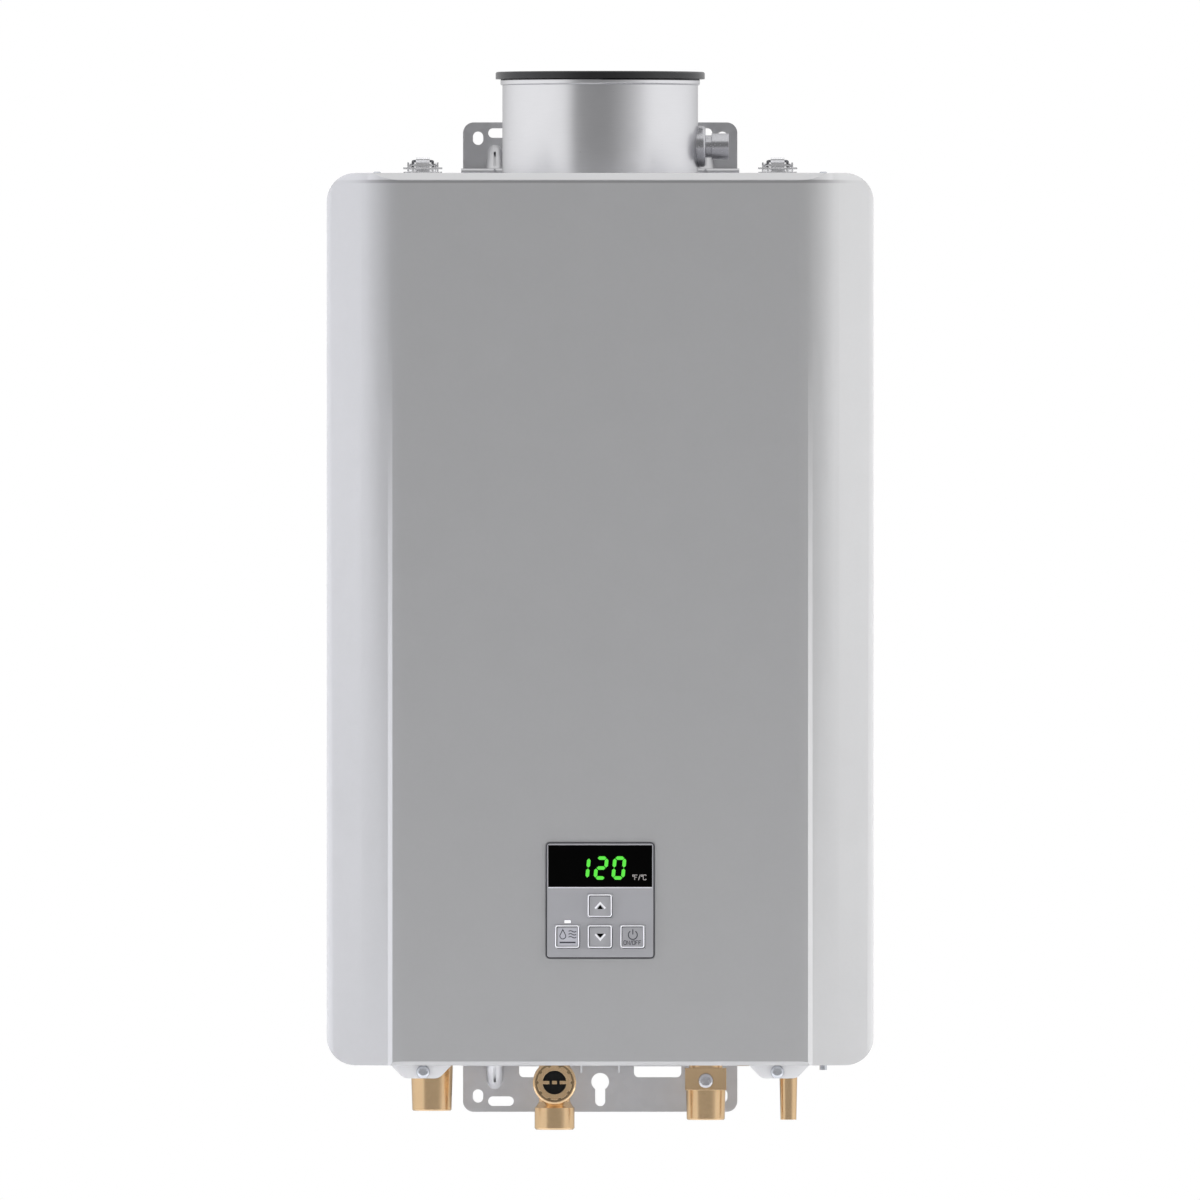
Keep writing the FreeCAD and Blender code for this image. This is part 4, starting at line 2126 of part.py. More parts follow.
def control_board():
    """Main circuit board on standoffs on the case's right side."""
    wall = "case_wide / 2 - sheet"
    face = f"{wall} - standoff_long - board_thick"
    ys = ("-flue_y - board_deep / 2", "-flue_y + board_deep / 2")
    zs = (f"{BLOWER_Z} - board_high / 2", f"{BLOWER_Z} + board_high / 2")
    pieces = [block("main_board", (face, f"{wall} - standoff_long"), ys, zs)]
    for near in (-1, 1):
        for over in (-1, 1):
            y = f"-flue_y + {near} * (board_deep / 2 - standoff_inset)"
            z = f"{BLOWER_Z} + {over} * (board_high / 2 - standoff_inset)"
            pieces.append(rod("standoff", "X", (f"{wall} - standoff_long", y, z), "standoff_wide", "standoff_long"))
    for deep, y0, y1, z0, z1 in BOARD_PARTS:
        part_y = (f"-flue_y + {y0} * board_deep", f"-flue_y + {y1} * board_deep")
        part_z = (f"{BLOWER_Z} + {z0} * board_high", f"{BLOWER_Z} + {z1} * board_high")
        pieces.append(block("board_part", (f"{face} - {deep} * board_deep", face), part_y, part_z))
    return node("control_board", group("control_set", *pieces))


PIECES = [
    rear_case,
    cover_gasket,
    front_cover,
    cover_screws,
    case_screws,
    vent_collar,
    collar_gasket,
    inner_flue,
    collar_side_port,
    latch_bases,
    latch_keepers,
    hot_outlet_fitting,
    cold_inlet_body,
    strainer_cap,
    strainer_basket,
    strainer_o_ring,
    gas_inlet_fitting,
    gas_test_screw,
    drain_tail,
    cable_gland,
    controller_bezel,
    display_window,
    buttons,
    status_led,
    button_board,
    exchanger_jacket,
    exchanger_fins,
    exchanger_tubes,
    exhaust_hood,
    burner_box,
    burner_bars,
    gas_manifold,
    flame_electrodes,
    blower_housing,
    blower_impeller,
    blower_motor,
    gas_valve_body,
    valve_plungers,
    gas_pipe,
    flow_sensor_body,
    flow_turbine,
    flow_valve_body,
    flow_valve_spindle,
    flow_valve_motor,
    water_pipes,
    thermistors,
    frost_heaters,
    spark_unit,
    control_board,
]


def check_document():
    """Stop if any object failed, or if a piece has no valid solid."""
    doc.recompute()
    for thing in doc.Objects:
        if "Invalid" in thing.State or "Error" in thing.State:
            raise RuntimeError(f"{thing.Name} failed: {thing.State}")
    for piece in nodes:
        if piece.Shape.isNull() or not piece.Shape.isValid() or not piece.Shape.Solids:
            raise RuntimeError(f"{piece.Label} has no valid solid")


def main():
    fill_sheet()
    for build in PIECES:
        build()
    wall_bracket("upper_wall_bracket", False)
    wall_bracket("lower_wall_bracket", True)
    for name, side in (("left", -1), ("right", 1)):
        latch_lever(f"latch_lever_{name}", side)
        latch_bail(f"latch_bail_{name}", side)
    check_document()
    os.makedirs("parts", exist_ok=True)
    for piece in nodes:
        piece.Shape.exportStep(f"parts/{piece.Label}.step")
    print(len(nodes), "nodes written")


main()
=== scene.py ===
"""Looks of the wall-hung tankless water heater: finishes, controller markings, studio and camera.

Every length is in metres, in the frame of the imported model: the wall is the
plane y = 0, the front faces -Y and +Z is up.
"""

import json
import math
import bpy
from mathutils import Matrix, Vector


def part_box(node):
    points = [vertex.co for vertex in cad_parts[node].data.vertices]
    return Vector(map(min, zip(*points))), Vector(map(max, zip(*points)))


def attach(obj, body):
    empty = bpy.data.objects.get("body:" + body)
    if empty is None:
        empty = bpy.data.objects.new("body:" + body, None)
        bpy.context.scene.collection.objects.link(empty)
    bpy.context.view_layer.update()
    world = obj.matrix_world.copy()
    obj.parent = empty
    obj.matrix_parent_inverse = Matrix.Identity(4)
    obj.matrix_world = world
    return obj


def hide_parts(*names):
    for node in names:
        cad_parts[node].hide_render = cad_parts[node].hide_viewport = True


bl_info = {
    "name": "Wall-hung water heater",
    "version": (1, 0, 0),
    "blender": (4, 5, 0),
    "location": "View3D > Sidebar > Heater",
    "description": "Dresses the packed water heater and sets up its studio picture",
    "category": "Object",
}

import bpy
import numpy as np
from mathutils import Vector

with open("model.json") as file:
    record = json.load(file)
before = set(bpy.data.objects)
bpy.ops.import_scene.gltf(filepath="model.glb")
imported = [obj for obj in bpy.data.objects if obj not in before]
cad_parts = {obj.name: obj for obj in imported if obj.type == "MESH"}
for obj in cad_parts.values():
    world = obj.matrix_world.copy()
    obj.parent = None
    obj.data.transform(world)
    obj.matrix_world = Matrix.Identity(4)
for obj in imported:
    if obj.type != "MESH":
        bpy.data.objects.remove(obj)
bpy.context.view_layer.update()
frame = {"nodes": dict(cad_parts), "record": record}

MM = 0.001
# Further out than any part of the heater
FAR = 1.0
# The cover's top, its lower edge and the controller's face and middle
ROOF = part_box("front_cover")[1].z
COVER_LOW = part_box("case_floor")[0].z + 8.9 * MM
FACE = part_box("controller_bezel")[0].y
CONTROL_Z = (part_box("controller_bezel")[0].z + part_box("controller_bezel")[1].z) / 2
# Half sizes of the controller's plate, without the flange behind the cover
PLATE_HALF = np.array([35.25, 37.65]) * MM
SEAM_WIDE = 0.68 * MM
# Half sizes of a key, the path of the embossed lines on it, and the room they have ahead of its face
KEY_HALF = np.array([8.22, 7.77]) * MM
LINE_HALF = np.array([7.45, 6.95]) * MM
LINE_CORNER = 1.2 * MM
LINE_ROOM = 0.55 * MM
# Marks stand this far ahead of the window
WINDOW_GAP = 0.1 * MM
# Ink stands this far ahead of the key that carries it, and its strokes are this thick
PRINT_THICK = 0.08 * MM
# Faces that meet at more than this angle keep a sharp edge
CREASE = math.radians(35)
# Metals seen at a slant reflect this share of the light, as oxide and handling dull them
RIM_TINT = 0.6


# Sizes and colours that a user may change


def to_linear(code):
    """Linear colour of an sRGB hex code: each channel's power curve, with its straight toe."""
    channels = np.array([int(code[k : k + 2], 16) / 255 for k in (1, 3, 5)])
    low = channels / 12.92
    high = ((channels + 0.055) / 1.055) ** 2.4
    return tuple(float(c) for c in np.where(channels <= 0.04045, low, high))


def colour_choice(name, description, code):
    """Colour property with an sRGB hex default."""
    return bpy.props.FloatVectorProperty(
        name=name, description=description, default=to_linear(code), subtype="COLOR", size=3, min=0, max=1
    )


def length_choice(name, description, metres, least=0.0):
    """Length property in metres."""
    return bpy.props.FloatProperty(
        name=name, description=description, default=metres, min=least, unit="LENGTH", precision=4
    )


def angle_choice(name, description, radians):
    """Angle property in radians."""
    return bpy.props.FloatProperty(name=name, description=description, default=radians, subtype="ANGLE")


def light_choice(name, description, amount, unit="NONE"):
    """Strength of a light or a glow, from nothing upwards."""
    return bpy.props.FloatProperty(name=name, description=description, default=amount, unit=unit, min=0)


class HeaterFinish(bpy.types.PropertyGroup):
    """Colours of the paint, the metals and the controller."""

    cover_colour: colour_choice("Cover", "Powder coat of the front cover", "#a5a5a6")
    case_colour: colour_choice("Case", "Powder coat of the case behind the cover", "#9c9c9f")
    brass_colour: colour_choice("Brass", "Water and gas connections", "#dabb93")
    collar_colour: colour_choice("Collar", "Rolled steel of the vent collar", "#e2e2e5")
    bezel_colour: colour_choice("Controller", "Controller plate and buttons", "#a5a5a9")


class HeaterDisplay(bpy.types.PropertyGroup):
    """What the controller shows."""

    reading: bpy.props.StringProperty(name="Reading", description="Digits that are lit", default="120")
    glow_colour: colour_choice("Glow", "Colour of the lit segments", "#58e83c")
    glow: light_choice("Strength", "Light of the segments", 1.0)
    digit_high: length_choice("Digit height", "Height of a digit", 15.2 * MM)
    digit_wide: length_choice("Digit width", "Width of a digit", 8.6 * MM)
    digit_step: length_choice("Digit step", "From one digit to the next", 11.6 * MM)
    segment: length_choice("Segment width", "Width of a lit bar", 2.3 * MM)
    slant: angle_choice("Slant", "Lean of the digits", 0.1)
    last_x: length_choice("Last digit", "Foot of the last digit from the controller's middle", 11.4 * MM)
    digit_low: length_choice("Digit foot", "Foot of the digits above the controller's middle", 13.5 * MM)
    unit_x: length_choice("Unit place", "Unit marks from the controller's middle", 25.8 * MM)
    unit_z: length_choice("Unit rise", "Unit marks above the controller's middle", 15.0 * MM)
    unit_high: length_choice("Unit height", "Height of the unit marks", 3.2 * MM)


class HeaterStudio(bpy.types.PropertyGroup):
    """Camera, floor and lamps."""

    distance: length_choice("Camera distance", "From the cover's face to the camera", 30.0)
    view_wide: length_choice("Picture width", "Width of the picture at the cover's face", 0.78)
    view_x: length_choice("Aim x", "Middle of the picture", -0.00013, least=-FAR)
    view_z: length_choice("Aim z", "Middle of the picture", -0.3059, least=-FAR)
    floor_drop: length_choice("Floor", "Floor below the origin", 1.2)
    floor_wide: length_choice("Floor width", "Side of the floor", 6.0)
    side_light: light_choice("Side lamps", "Watts of each side lamp", 80, "POWER")
    front_light: light_choice("Front lamp", "Watts of the front lamp", 12, "POWER")
    top_light: light_choice("Top lamp", "Watts of the top lamp", 62, "POWER")
    low_light: light_choice("Low lamp", "Watts of the low lamp", 7, "POWER")
    card_ahead: length_choice("Card distance", "From the wall to the reflection card", 2.4)
    card_wide: length_choice("Card width", "Width of the reflection card", 8.0)
    card_high: length_choice("Card height", "Height of the reflection card", 5.0)
    card_top: light_choice("Card top", "Light of the card up high", 0.25)
    card_low: light_choice("Card foot", "Light of the card down low", 0.46)
    sky: light_choice("Room light", "Light of the room's white walls", 0.3)


# Materials


def add(tree, kind, inputs=None, **settings):
    """Adds a node with its settings, and gives each input named a source socket or a plain value."""
    node = tree.nodes.new(kind)
    for name, setting in settings.items():
        setattr(node, name, setting)
    for name, source in (inputs or {}).items():
        if isinstance(source, bpy.types.NodeSocket):
            tree.links.new(source, node.inputs[name])
        else:
            node.inputs[name].default_value = source
    return node


def empty_material(name):
    """A new material and its tree, with no nodes in it yet."""
    made = bpy.data.materials.new(name)
    made.use_nodes = True
    made.node_tree.nodes.clear()
    return made, made.node_tree


def first_node(tree, kind):
    """The tree's first node of a kind."""
    return next(node for node in tree.nodes if node.bl_idname == kind)


def finish(
    name,
    tones,
    grain,
    metallic=0.0,
    rough=(0.4, 0.5),
    bump=0.0,
    edge=0.0,
    stretch=(1, 1, 1),
    kind="noise",
    own=None,
):
    """Builds a material from what its surface is made of.

    tones are the two linear colours that the grain runs between, grain is the size
    of the pattern in millimetres, rough the two roughnesses, bump the depth of the
    relief in millimetres, edge the radius in millimetres at which sharp edges catch
    the light, and stretch lengthens the pattern along an axis. own sets further
    sockets of the shader. A second pattern of 22 mm patches varies the tone.
    """
    made, tree = empty_material(name)
    place = add(tree, "ShaderNodeTexCoord").outputs["Object"]
    scale = [1 / (grain * MM * longer) for longer in stretch]
    spread = add(tree, "ShaderNodeMapping", {"Vector": place, "Scale": scale}).outputs[0]
    if kind == "spangle":
        crystals = add(tree, "ShaderNodeTexVoronoi", {"Vector": spread, "Scale": 1.0, "Randomness": 1.0})
        tone = add(tree, "ShaderNodeSeparateColor", {"Color": crystals.outputs["Color"]}).outputs["Red"]
    else:
        fine = {"Vector": spread, "Scale": 1.0, "Detail": 3.0, "Roughness": 0.6}
        tone = add(tree, "ShaderNodeTexNoise", fine).outputs["Fac"]
    patches = add(tree, "ShaderNodeTexNoise", {"Vector": place, "Scale": 1 / (22 * MM), "Detail": 2.0})
    total = add(tree, "ShaderNodeMath", {0: tone, 1: patches.outputs["Fac"]}, operation="ADD")
    level = add(tree, "ShaderNodeMapRange", {"Value": total.outputs[0], "From Min": 0.6, "From Max": 1.4})
    dark, pale = [(*tone_colour, 1) for tone_colour in tones]
    colour = add(tree, "ShaderNodeMix", {"Factor": level.outputs[0], "A": dark, "B": pale}, data_type="RGBA")
    polish = add(tree, "ShaderNodeMapRange", {"Value": tone, "To Min": rough[0], "To Max": rough[1]})
    surface = {"Base Color": colour.outputs["Result"], "Roughness": polish.outputs[0], "Metallic": metallic}
    normal = {}
    if metallic:
        surface["Specular Tint"] = (RIM_TINT, RIM_TINT, RIM_TINT, 1)
    if edge:
        worn = add(tree, "ShaderNodeBevel", {"Radius": edge * MM}, samples=4)
        normal = {"Normal": worn.outputs["Normal"]}
    if bump:
        relief = {"Height": tone, "Strength": 1.0, "Distance": bump * MM}
        normal = {"Normal": add(tree, "ShaderNodeBump", {**relief, **normal}).outputs["Normal"]}
    shader = add(tree, "ShaderNodeBsdfPrincipled", {**surface, **normal, **(own or {})})
    add(tree, "ShaderNodeOutputMaterial", {"Surface": shader.outputs[0]})
    return made


def both(tree, first, second):
    """Mask that is 1 only where two masks are."""
    return add(tree, "ShaderNodeMath", {0: first, 1: second}, operation="MULTIPLY").outputs[0]


def between(tree, value, low, high, soft):
    """Mask that is 1 where a value lies between two levels, and falls to 0 over a soft margin past them."""
    start = {"Value": value, "From Min": low - soft, "From Max": low}
    rise = add(tree, "ShaderNodeMapRange", start, interpolation_type="SMOOTHSTEP")
    end = {"Value": value, "From Min": high, "From Max": high + soft, "To Min": 1.0, "To Max": 0.0}
    fall = add(tree, "ShaderNodeMapRange", end, interpolation_type="SMOOTHSTEP")
    return both(tree, rise.outputs[0], fall.outputs[0])


def axes_of(tree):
    """Outputs of a point's x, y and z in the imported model's frame."""
    place = add(tree, "ShaderNodeTexCoord")
    return add(tree, "ShaderNodeSeparateXYZ", {"Vector": place.outputs["Object"]}).outputs


def overlay(material, mask, colour):
    """Lays a linear colour over a material's own where the mask is 1."""
    tree = material.node_tree
    paint = first_node(tree, "ShaderNodeBsdfPrincipled").inputs["Base Color"]
    layers = {"Factor": mask, "A": paint.links[0].from_socket, "B": (*colour, 1)}
    mix = add(tree, "ShaderNodeMix", layers, data_type="RGBA")
    tree.links.new(mix.outputs["Result"], paint)


def scaled(colour, share):
    """A linear colour made darker or lighter by a share."""
    return tuple(np.minimum(np.array(tuple(colour)) * share, 1))


def shades(colour, spread):
    """Two linear colours round an sRGB code or a linear colour, darker and lighter by a share."""
    middle = to_linear(colour) if isinstance(colour, str) else colour
    return scaled(middle, 1 - spread), scaled(middle, 1 + spread)


def glow_material(name, colour, strength):
    """Lit segments: light of one colour, a little weaker in patches of about a millimetre."""
    made, tree = empty_material(name)
    place = add(tree, "ShaderNodeTexCoord").outputs["Object"]
    cells = add(tree, "ShaderNodeTexNoise", {"Vector": place, "Scale": 1 / (1.2 * MM), "Detail": 1.0})
    level = add(tree, "ShaderNodeMapRange", {"Value": cells.outputs["Fac"], "To Min": 0.75, "To Max": 1.15})
    tones = {"A": (*scaled(colour, 0.7), 1), "B": (*colour, 1)}
    shine = add(tree, "ShaderNodeMix", {"Factor": level.outputs[0], **tones}, data_type="RGBA")
    unlit = {"Base Color": (*to_linear("#193019"), 1), "Roughness": 0.4}
    lit = {"Emission Color": shine.outputs["Result"], "Emission Strength": strength}
    shader = add(tree, "ShaderNodeBsdfPrincipled", {**unlit, **lit})
    add(tree, "ShaderNodeOutputMaterial", {"Surface": shader.outputs[0]})
    return made


def make_materials(look):
    """One finish for each of the heater's surfaces, by the record's slots and a few of the scene's own."""
    made = {}

    def keep(slot, name, colour, spread, grain, **rest):
        made[slot] = finish(name, shades(colour, spread), grain, **rest)

    def metal(slot, name, colour, spread, grain, **rest):
        keep(slot, name, colour, spread, grain, metallic=1.0, **rest)

    # Powder-coated steel: an even silver with a faint orange-peel relief that softens highlights
    keep("case_paint", "powder_coat_case", look.case_colour, 0.02, 2.4, rough=(0.42, 0.5), bump=0.012)
    keep("cover_paint", "powder_coat_cover", look.cover_colour, 0.015, 2.4, rough=(0.36, 0.44), bump=0.01)
    # Painted light on the cover: highlights on its top band and tab strip, and shade in the fold under the
    # band
    shade_cover(made["cover_paint"], look.cover_colour)
    # EPDM rubber: near black, dull, with a bloom that greys it in patches
    keep("rubber", "moulded_rubber", "#1a1a1c", 0.2, 1.5, rough=(0.3, 0.42), bump=0.006)
    # Hot-dip galvanised sheet: grey metal with flat spangle crystals, and cut edges that shine
    flakes = {"edge": 0.4, "kind": "spangle"}
    metal("galvanised", "galvanised_sheet", "#cdcdcf", 0.015, 4.5, rough=(0.34, 0.42), **flakes)
    # Rolled stainless sheet: fine lines run round the collar and draw reflections out upwards
    rolled = {"rough": (0.26, 0.32), "stretch": (12, 12, 1), "bump": 0.001}
    metal("collar_steel", "rolled_collar_steel", look.collar_colour, 0.02, 0.9, **rolled)
    # Satin stainless tube: softer and greyer than the collar
    satin = {"rough": (0.3, 0.42), "stretch": (12, 12, 1), "bump": 0.003}
    metal("flue_steel", "satin_flue_steel", "#b9b9bc", 0.06, 0.8, **satin)
    # Zinc-plated die casting: bright with a faint sugary grain
    metal("zinc", "zinc_plated_casting", "#c6c6ca", 0.04, 1.2, rough=(0.22, 0.3), bump=0.002, edge=0.7)
    # Bright-plated strip under clear lacquer: pale, glossy, with light handling marks and worn edges
    lacquered = {"metallic": 0.8, "rough": (0.12, 0.24), "bump": 0.002, "edge": 0.7}
    keep("latch_steel", "lacquered_latch_steel", "#f4f4f6", 0.04, 1.8, **lacquered)
    # Drawn spring wire: darker than the pressings, with a thin bright line along it
    metal("latch_wire", "drawn_spring_wire", "#6e6e72", 0.06, 0.9, rough=(0.18, 0.28), bump=0.001)
    # Bright zinc screws: bluish and glossy
    metal("screw_steel", "bright_zinc_screws", "#cdd0d6", 0.05, 1.0, rough=(0.16, 0.28), bump=0.003)
    # Tumbled forged brass: warm and slightly mottled by its oxide, with edges rubbed bright
    tumbled = {"rough": (0.2, 0.28), "bump": 0.003, "edge": 0.4}
    metal("brass", "tumbled_brass", look.brass_colour, 0.04, 1.6, **tumbled)
    # The strainer cap's brass carries painted shade in its notches and recess
    made["cap_brass"] = cap_finish(made["brass"], look.brass_colour)
    # The same brass, darker and duller
    metal("gland_brass", "darker_brass", "#8a7550", 0.1, 1.4, rough=(0.4, 0.5), bump=0.008)
    # Moulded nylon: black with a fine spark-eroded grain
    keep("black_plastic", "moulded_black_nylon", "#1b1b1c", 0.2, 0.8, rough=(0.42, 0.56), bump=0.01)
    # Moulded ABS in silver grey: even, satin, with a fine grain
    keep("bezel_plastic", "silver_abs_plate", look.bezel_colour, 0.015, 0.9, rough=(0.4, 0.48), bump=0.006)
    keys = {"rough": (0.36, 0.44), "bump": 0.004}
    keep("button_plastic", "silver_abs_buttons", look.bezel_colour, 0.02, 0.7, **keys)
    # Smoked acrylic with an anti-glare coat: deep black, and hardly any reflection
    dulled = {"rough": (0.1, 0.16), "own": {"Specular IOR Level": 0.04}}
    keep("display_glass", "smoked_acrylic", "#020202", 0.3, 6.0, **dulled)
    # Diffusing polycarbonate lens: milky white, faintly lit from behind
    milky = {"rough": (0.25, 0.35), "own": {"Emission Strength": 0.35}}
    keep("led_lens", "milky_lens", "#f2f2f4", 0.02, 0.6, **milky)
    # Solder mask over glass-fibre board: glossy green over a fine weave
    keep("circuit_board", "green_solder_mask", "#1f5c38", 0.15, 0.7, rough=(0.22, 0.34), bump=0.01)
    # Drawn and brazed copper: warm, with darker heat bloom
    metal("copper", "brazed_copper", "#c0805c", 0.18, 9.0, rough=(0.28, 0.48), bump=0.004)
    # Aluminised sheet: dull silver with fine rolling marks
    milled = {"rough": (0.36, 0.5), "stretch": (1, 1, 14), "bump": 0.003}
    metal("aluminised", "aluminised_sheet", "#b5b5b5", 0.08, 1.4, **milled)
    # Die-cast aluminium: grey and pebbled
    metal("die_cast", "die_cast_aluminium", "#a2a3a5", 0.1, 1.1, rough=(0.45, 0.6), bump=0.02)
    # Black motor enamel: semi-gloss over fine orange peel
    keep("motor_paint", "black_motor_enamel", "#242426", 0.15, 1.6, rough=(0.28, 0.4), bump=0.01)
    # Glazed ceramic: off-white and glossy
    keep("ceramic", "glazed_ceramic", "#e4e1d8", 0.03, 2.0, rough=(0.14, 0.24), bump=0.004)
    # Natural acetal: slightly warm white, waxy
    keep("white_plastic", "white_acetal", "#e0dfd9", 0.02, 1.2, rough=(0.34, 0.44), bump=0.004)
    # Legend ink: dark grey print that lies dull on the buttons
    keep("ink", "legend_ink", "#3d3d45", 0.1, 0.8, rough=(0.5, 0.6))
    # Unit marks on the glass: thin grey print
    keep("print", "grey_print", "#a39f9d", 0.08, 0.7, rough=(0.5, 0.6))
    # Pale legend, key rims and window edge: bright satin plastic, which is a painted highlight on the rims
    # and the window edge
    keep("pale", "pale_legend_and_highlights", "#f6f6fa", 0.01, 0.8, rough=(0.3, 0.4))
    # Dark lines of the controller: painted shade in the gap round its plate and on the lower right of each
    # key's bead
    keep("seam", "painted_shade_lines", "#3a3a3e", 0.1, 0.8, rough=(0.6, 0.7))
    # Field of the select button: paler satin film
    keep("film", "pale_button_film", "#bcbcc4", 0.04, 1.1, rough=(0.35, 0.45))
    return made


def fade_out(material, near, far):
    """Lets a floor melt into the white room between two distances from the origin, and vanish from below."""
    tree = material.node_tree
    x, y, _ = axes_of(tree)
    spot = add(tree, "ShaderNodeCombineXYZ", {"X": x, "Y": y})
    reach = add(tree, "ShaderNodeVectorMath", {0: spot.outputs[0]}, operation="LENGTH")
    ends = {"Value": reach.outputs["Value"], "From Min": near, "From Max": far}
    share = add(tree, "ShaderNodeMapRange", ends, interpolation_type="SMOOTHSTEP")
    below = add(tree, "ShaderNodeNewGeometry").outputs["Backfacing"]
    gone = add(tree, "ShaderNodeMath", {0: share.outputs[0], 1: below}, operation="MAXIMUM")
    surface = first_node(tree, "ShaderNodeOutputMaterial").inputs["Surface"]
    solid = surface.links[0].from_socket
    clear = add(tree, "ShaderNodeBsdfTransparent")
    mix = add(tree, "ShaderNodeMixShader", {0: gone.outputs[0], 1: solid, 2: clear.outputs[0]})
    tree.links.new(mix.outputs[0], surface)


def shade_cover(material, colour):
    """Cover's paint with painted light: a painted highlight along the top band, strongest where it faces
    forward, painted shade in the fold under it, and a painted highlight on each tab.
    """
    tree = material.node_tree
    x, _, z = axes_of(tree)
    place = add(tree, "ShaderNodeTexCoord")
    normal = add(tree, "ShaderNodeSeparateXYZ", {"Vector": place.outputs["Normal"]})
    # Painted highlight: the top band of the cover made paler, and paler still in the middle where it faces
    # forward, standing in for the top lamp's light
    brow_highlight = between(tree, z, ROOF - 4.6 * MM, FAR, 0.3 * MM)
    overlay(material, brow_highlight, scaled(colour, 1.1))
    facing = between(tree, normal.outputs["Y"], -1.1, -0.85, 0.05)
    middle = between(tree, x, -152 * MM, 152 * MM, 20 * MM)
    overlay(material, both(tree, brow_highlight, both(tree, facing, middle)), scaled(colour, 1.3))
    # Painted shade: a darker band across the middle, in the fold just under the top band
    across = between(tree, x, -140 * MM, 140 * MM, 30 * MM)
    crease_shade = between(tree, z, ROOF - 6.2 * MM, ROOF - 4.9 * MM, 0.8 * MM)
    overlay(material, both(tree, across, crease_shade), scaled(colour, 0.66))
    # Painted highlight: the tab strip below the cover's edge made much paler, standing in for light from the
    # floor
    tab_highlight = between(tree, z, -FAR, COVER_LOW - 0.4 * MM, 0.2 * MM)
    overlay(material, tab_highlight, scaled(colour, 1.9))


def cap_finish(brass, colour):
    """Brass of the strainer cap, with painted shade: darker in its ring of finger notches, and black and
    dull deep in its recess.
    """
    made = brass.copy()
    made.name = "tumbled_brass_cap"
    tree = made.node_tree
    low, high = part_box("strainer_cap")
    x, y, z = axes_of(tree)
    spot = add(tree, "ShaderNodeCombineXYZ", {"X": x, "Y": z}).outputs[0]
    middle = ((low.x + high.x) / 2, (low.z + high.z) / 2, 0)
    reach = add(tree, "ShaderNodeVectorMath", {0: spot, 1: middle}, operation="DISTANCE").outputs["Value"]
    # Painted shade: the sunk ring of finger notches darkened to half the brass colour
    ring = between(tree, reach, 8.2 * MM, 12.9 * MM, 0.1 * MM)
    notched = between(tree, y, low.y + 0.6 * MM, FAR, 0.2 * MM)
    overlay(made, both(tree, ring, notched), scaled(colour, 0.5))
    # Painted shade: near-black, non-metal colour deep in the middle recess
    inside = between(tree, reach, -FAR, 7.7 * MM, 0.15 * MM)
    deep = between(tree, y, low.y + 1.7 * MM, FAR, 0.3 * MM)
    recess = both(tree, inside, deep)
    overlay(made, recess, to_linear("#0d0d0d"))
    metal = add(tree, "ShaderNodeMath", {0: 1.0, 1: recess}, operation="SUBTRACT")
    tree.links.new(metal.outputs[0], first_node(tree, "ShaderNodeBsdfPrincipled").inputs["Metallic"])
    return made


# Meshes


def at_depth(outline, y):
    """Points of an outline in the x-z plane, all at one depth."""
    return np.column_stack([outline[:, 0], np.full(len(outline), y), outline[:, 1]])


def lofted(name, rings, material, closed=False):
    """Closed skin through rings of points.

    rings is an array of (ring, point, xyz). Point j of ring i is joined to point
    j + 1 and to ring i + 1, so each quad has the corners i,j  i,j+1  i+1,j+1  i+1,j.
    Flat caps close both ends or, where closed, the last ring is joined to the first.
    """
    rings = np.asarray(rings, float)
    at = np.arange(rings.shape[0] * rings.shape[1]).reshape(rings.shape[:2])
    here, after = (at, np.roll(at, -1, axis=0)) if closed else (at[:-1], at[1:])
    corners = [here, np.roll(here, -1, axis=1), np.roll(after, -1, axis=1), after]
    faces = np.stack(corners, axis=-1).reshape(-1, 4).tolist()
    if not closed:
        faces += [at[0][::-1].tolist(), at[-1].tolist()]
    mesh = bpy.data.meshes.new(name)
    mesh.from_pydata(rings.reshape(-1, 3).tolist(), [], faces)
    mesh.materials.append(material)
    mesh.validate()
    mesh.shade_smooth()
    mesh.set_sharp_from_angle(angle=CREASE)
    made = bpy.data.objects.new(name, mesh)
    bpy.context.scene.collection.objects.link(made)
    outward(made)
    return made


def outward(piece):
    """Turns a closed mesh's faces outwards if its signed volume is negative."""
    mesh = piece.data
    mesh.calc_loop_triangles()
    corners = np.zeros(len(mesh.loop_triangles) * 3, np.int32)
    mesh.loop_triangles.foreach_get("vertices", corners)
    points = np.zeros(len(mesh.vertices) * 3, np.float32)
    mesh.vertices.foreach_get("co", points)
    a, b, c = points.reshape(-1, 3)[corners.reshape(-1, 3)].astype(float).transpose(1, 0, 2)
    if np.einsum("ij,ij->i", a, np.cross(b, c)).sum() < 0:
        mesh.flip_normals()


def joined(name, pieces):
    """Several pieces as one object."""
    if len(pieces) > 1:
        first = {"active_object": pieces[0], "object": pieces[0]}
        chosen = {"selected_editable_objects": pieces, "selected_objects": pieces}
        with bpy.context.temp_override(**first, **chosen):
            bpy.ops.object.join()
    pieces[0].name = name
    pieces[0].data.name = name
    return pieces[0]


def bar_rings(outline, front, thick, inset):
    """Rings of a thin plate in the x-z plane: its outline at the back, then further forward, then drawn in.

    outline is (point, x z). The last ring is the outline with each point moved
    towards its middle by the inset, which gives the plate a soft rim.
    """
    outline = np.asarray(outline, float)
    middle = outline.mean(axis=0)
    reach = np.linalg.norm(outline - middle, axis=1, keepdims=True)
    inner = middle + (outline - middle) * (1 - inset / reach)
    edge = front + 0.35 * thick
    return [at_depth(outline, front + thick), at_depth(outline, edge), at_depth(inner, front)]


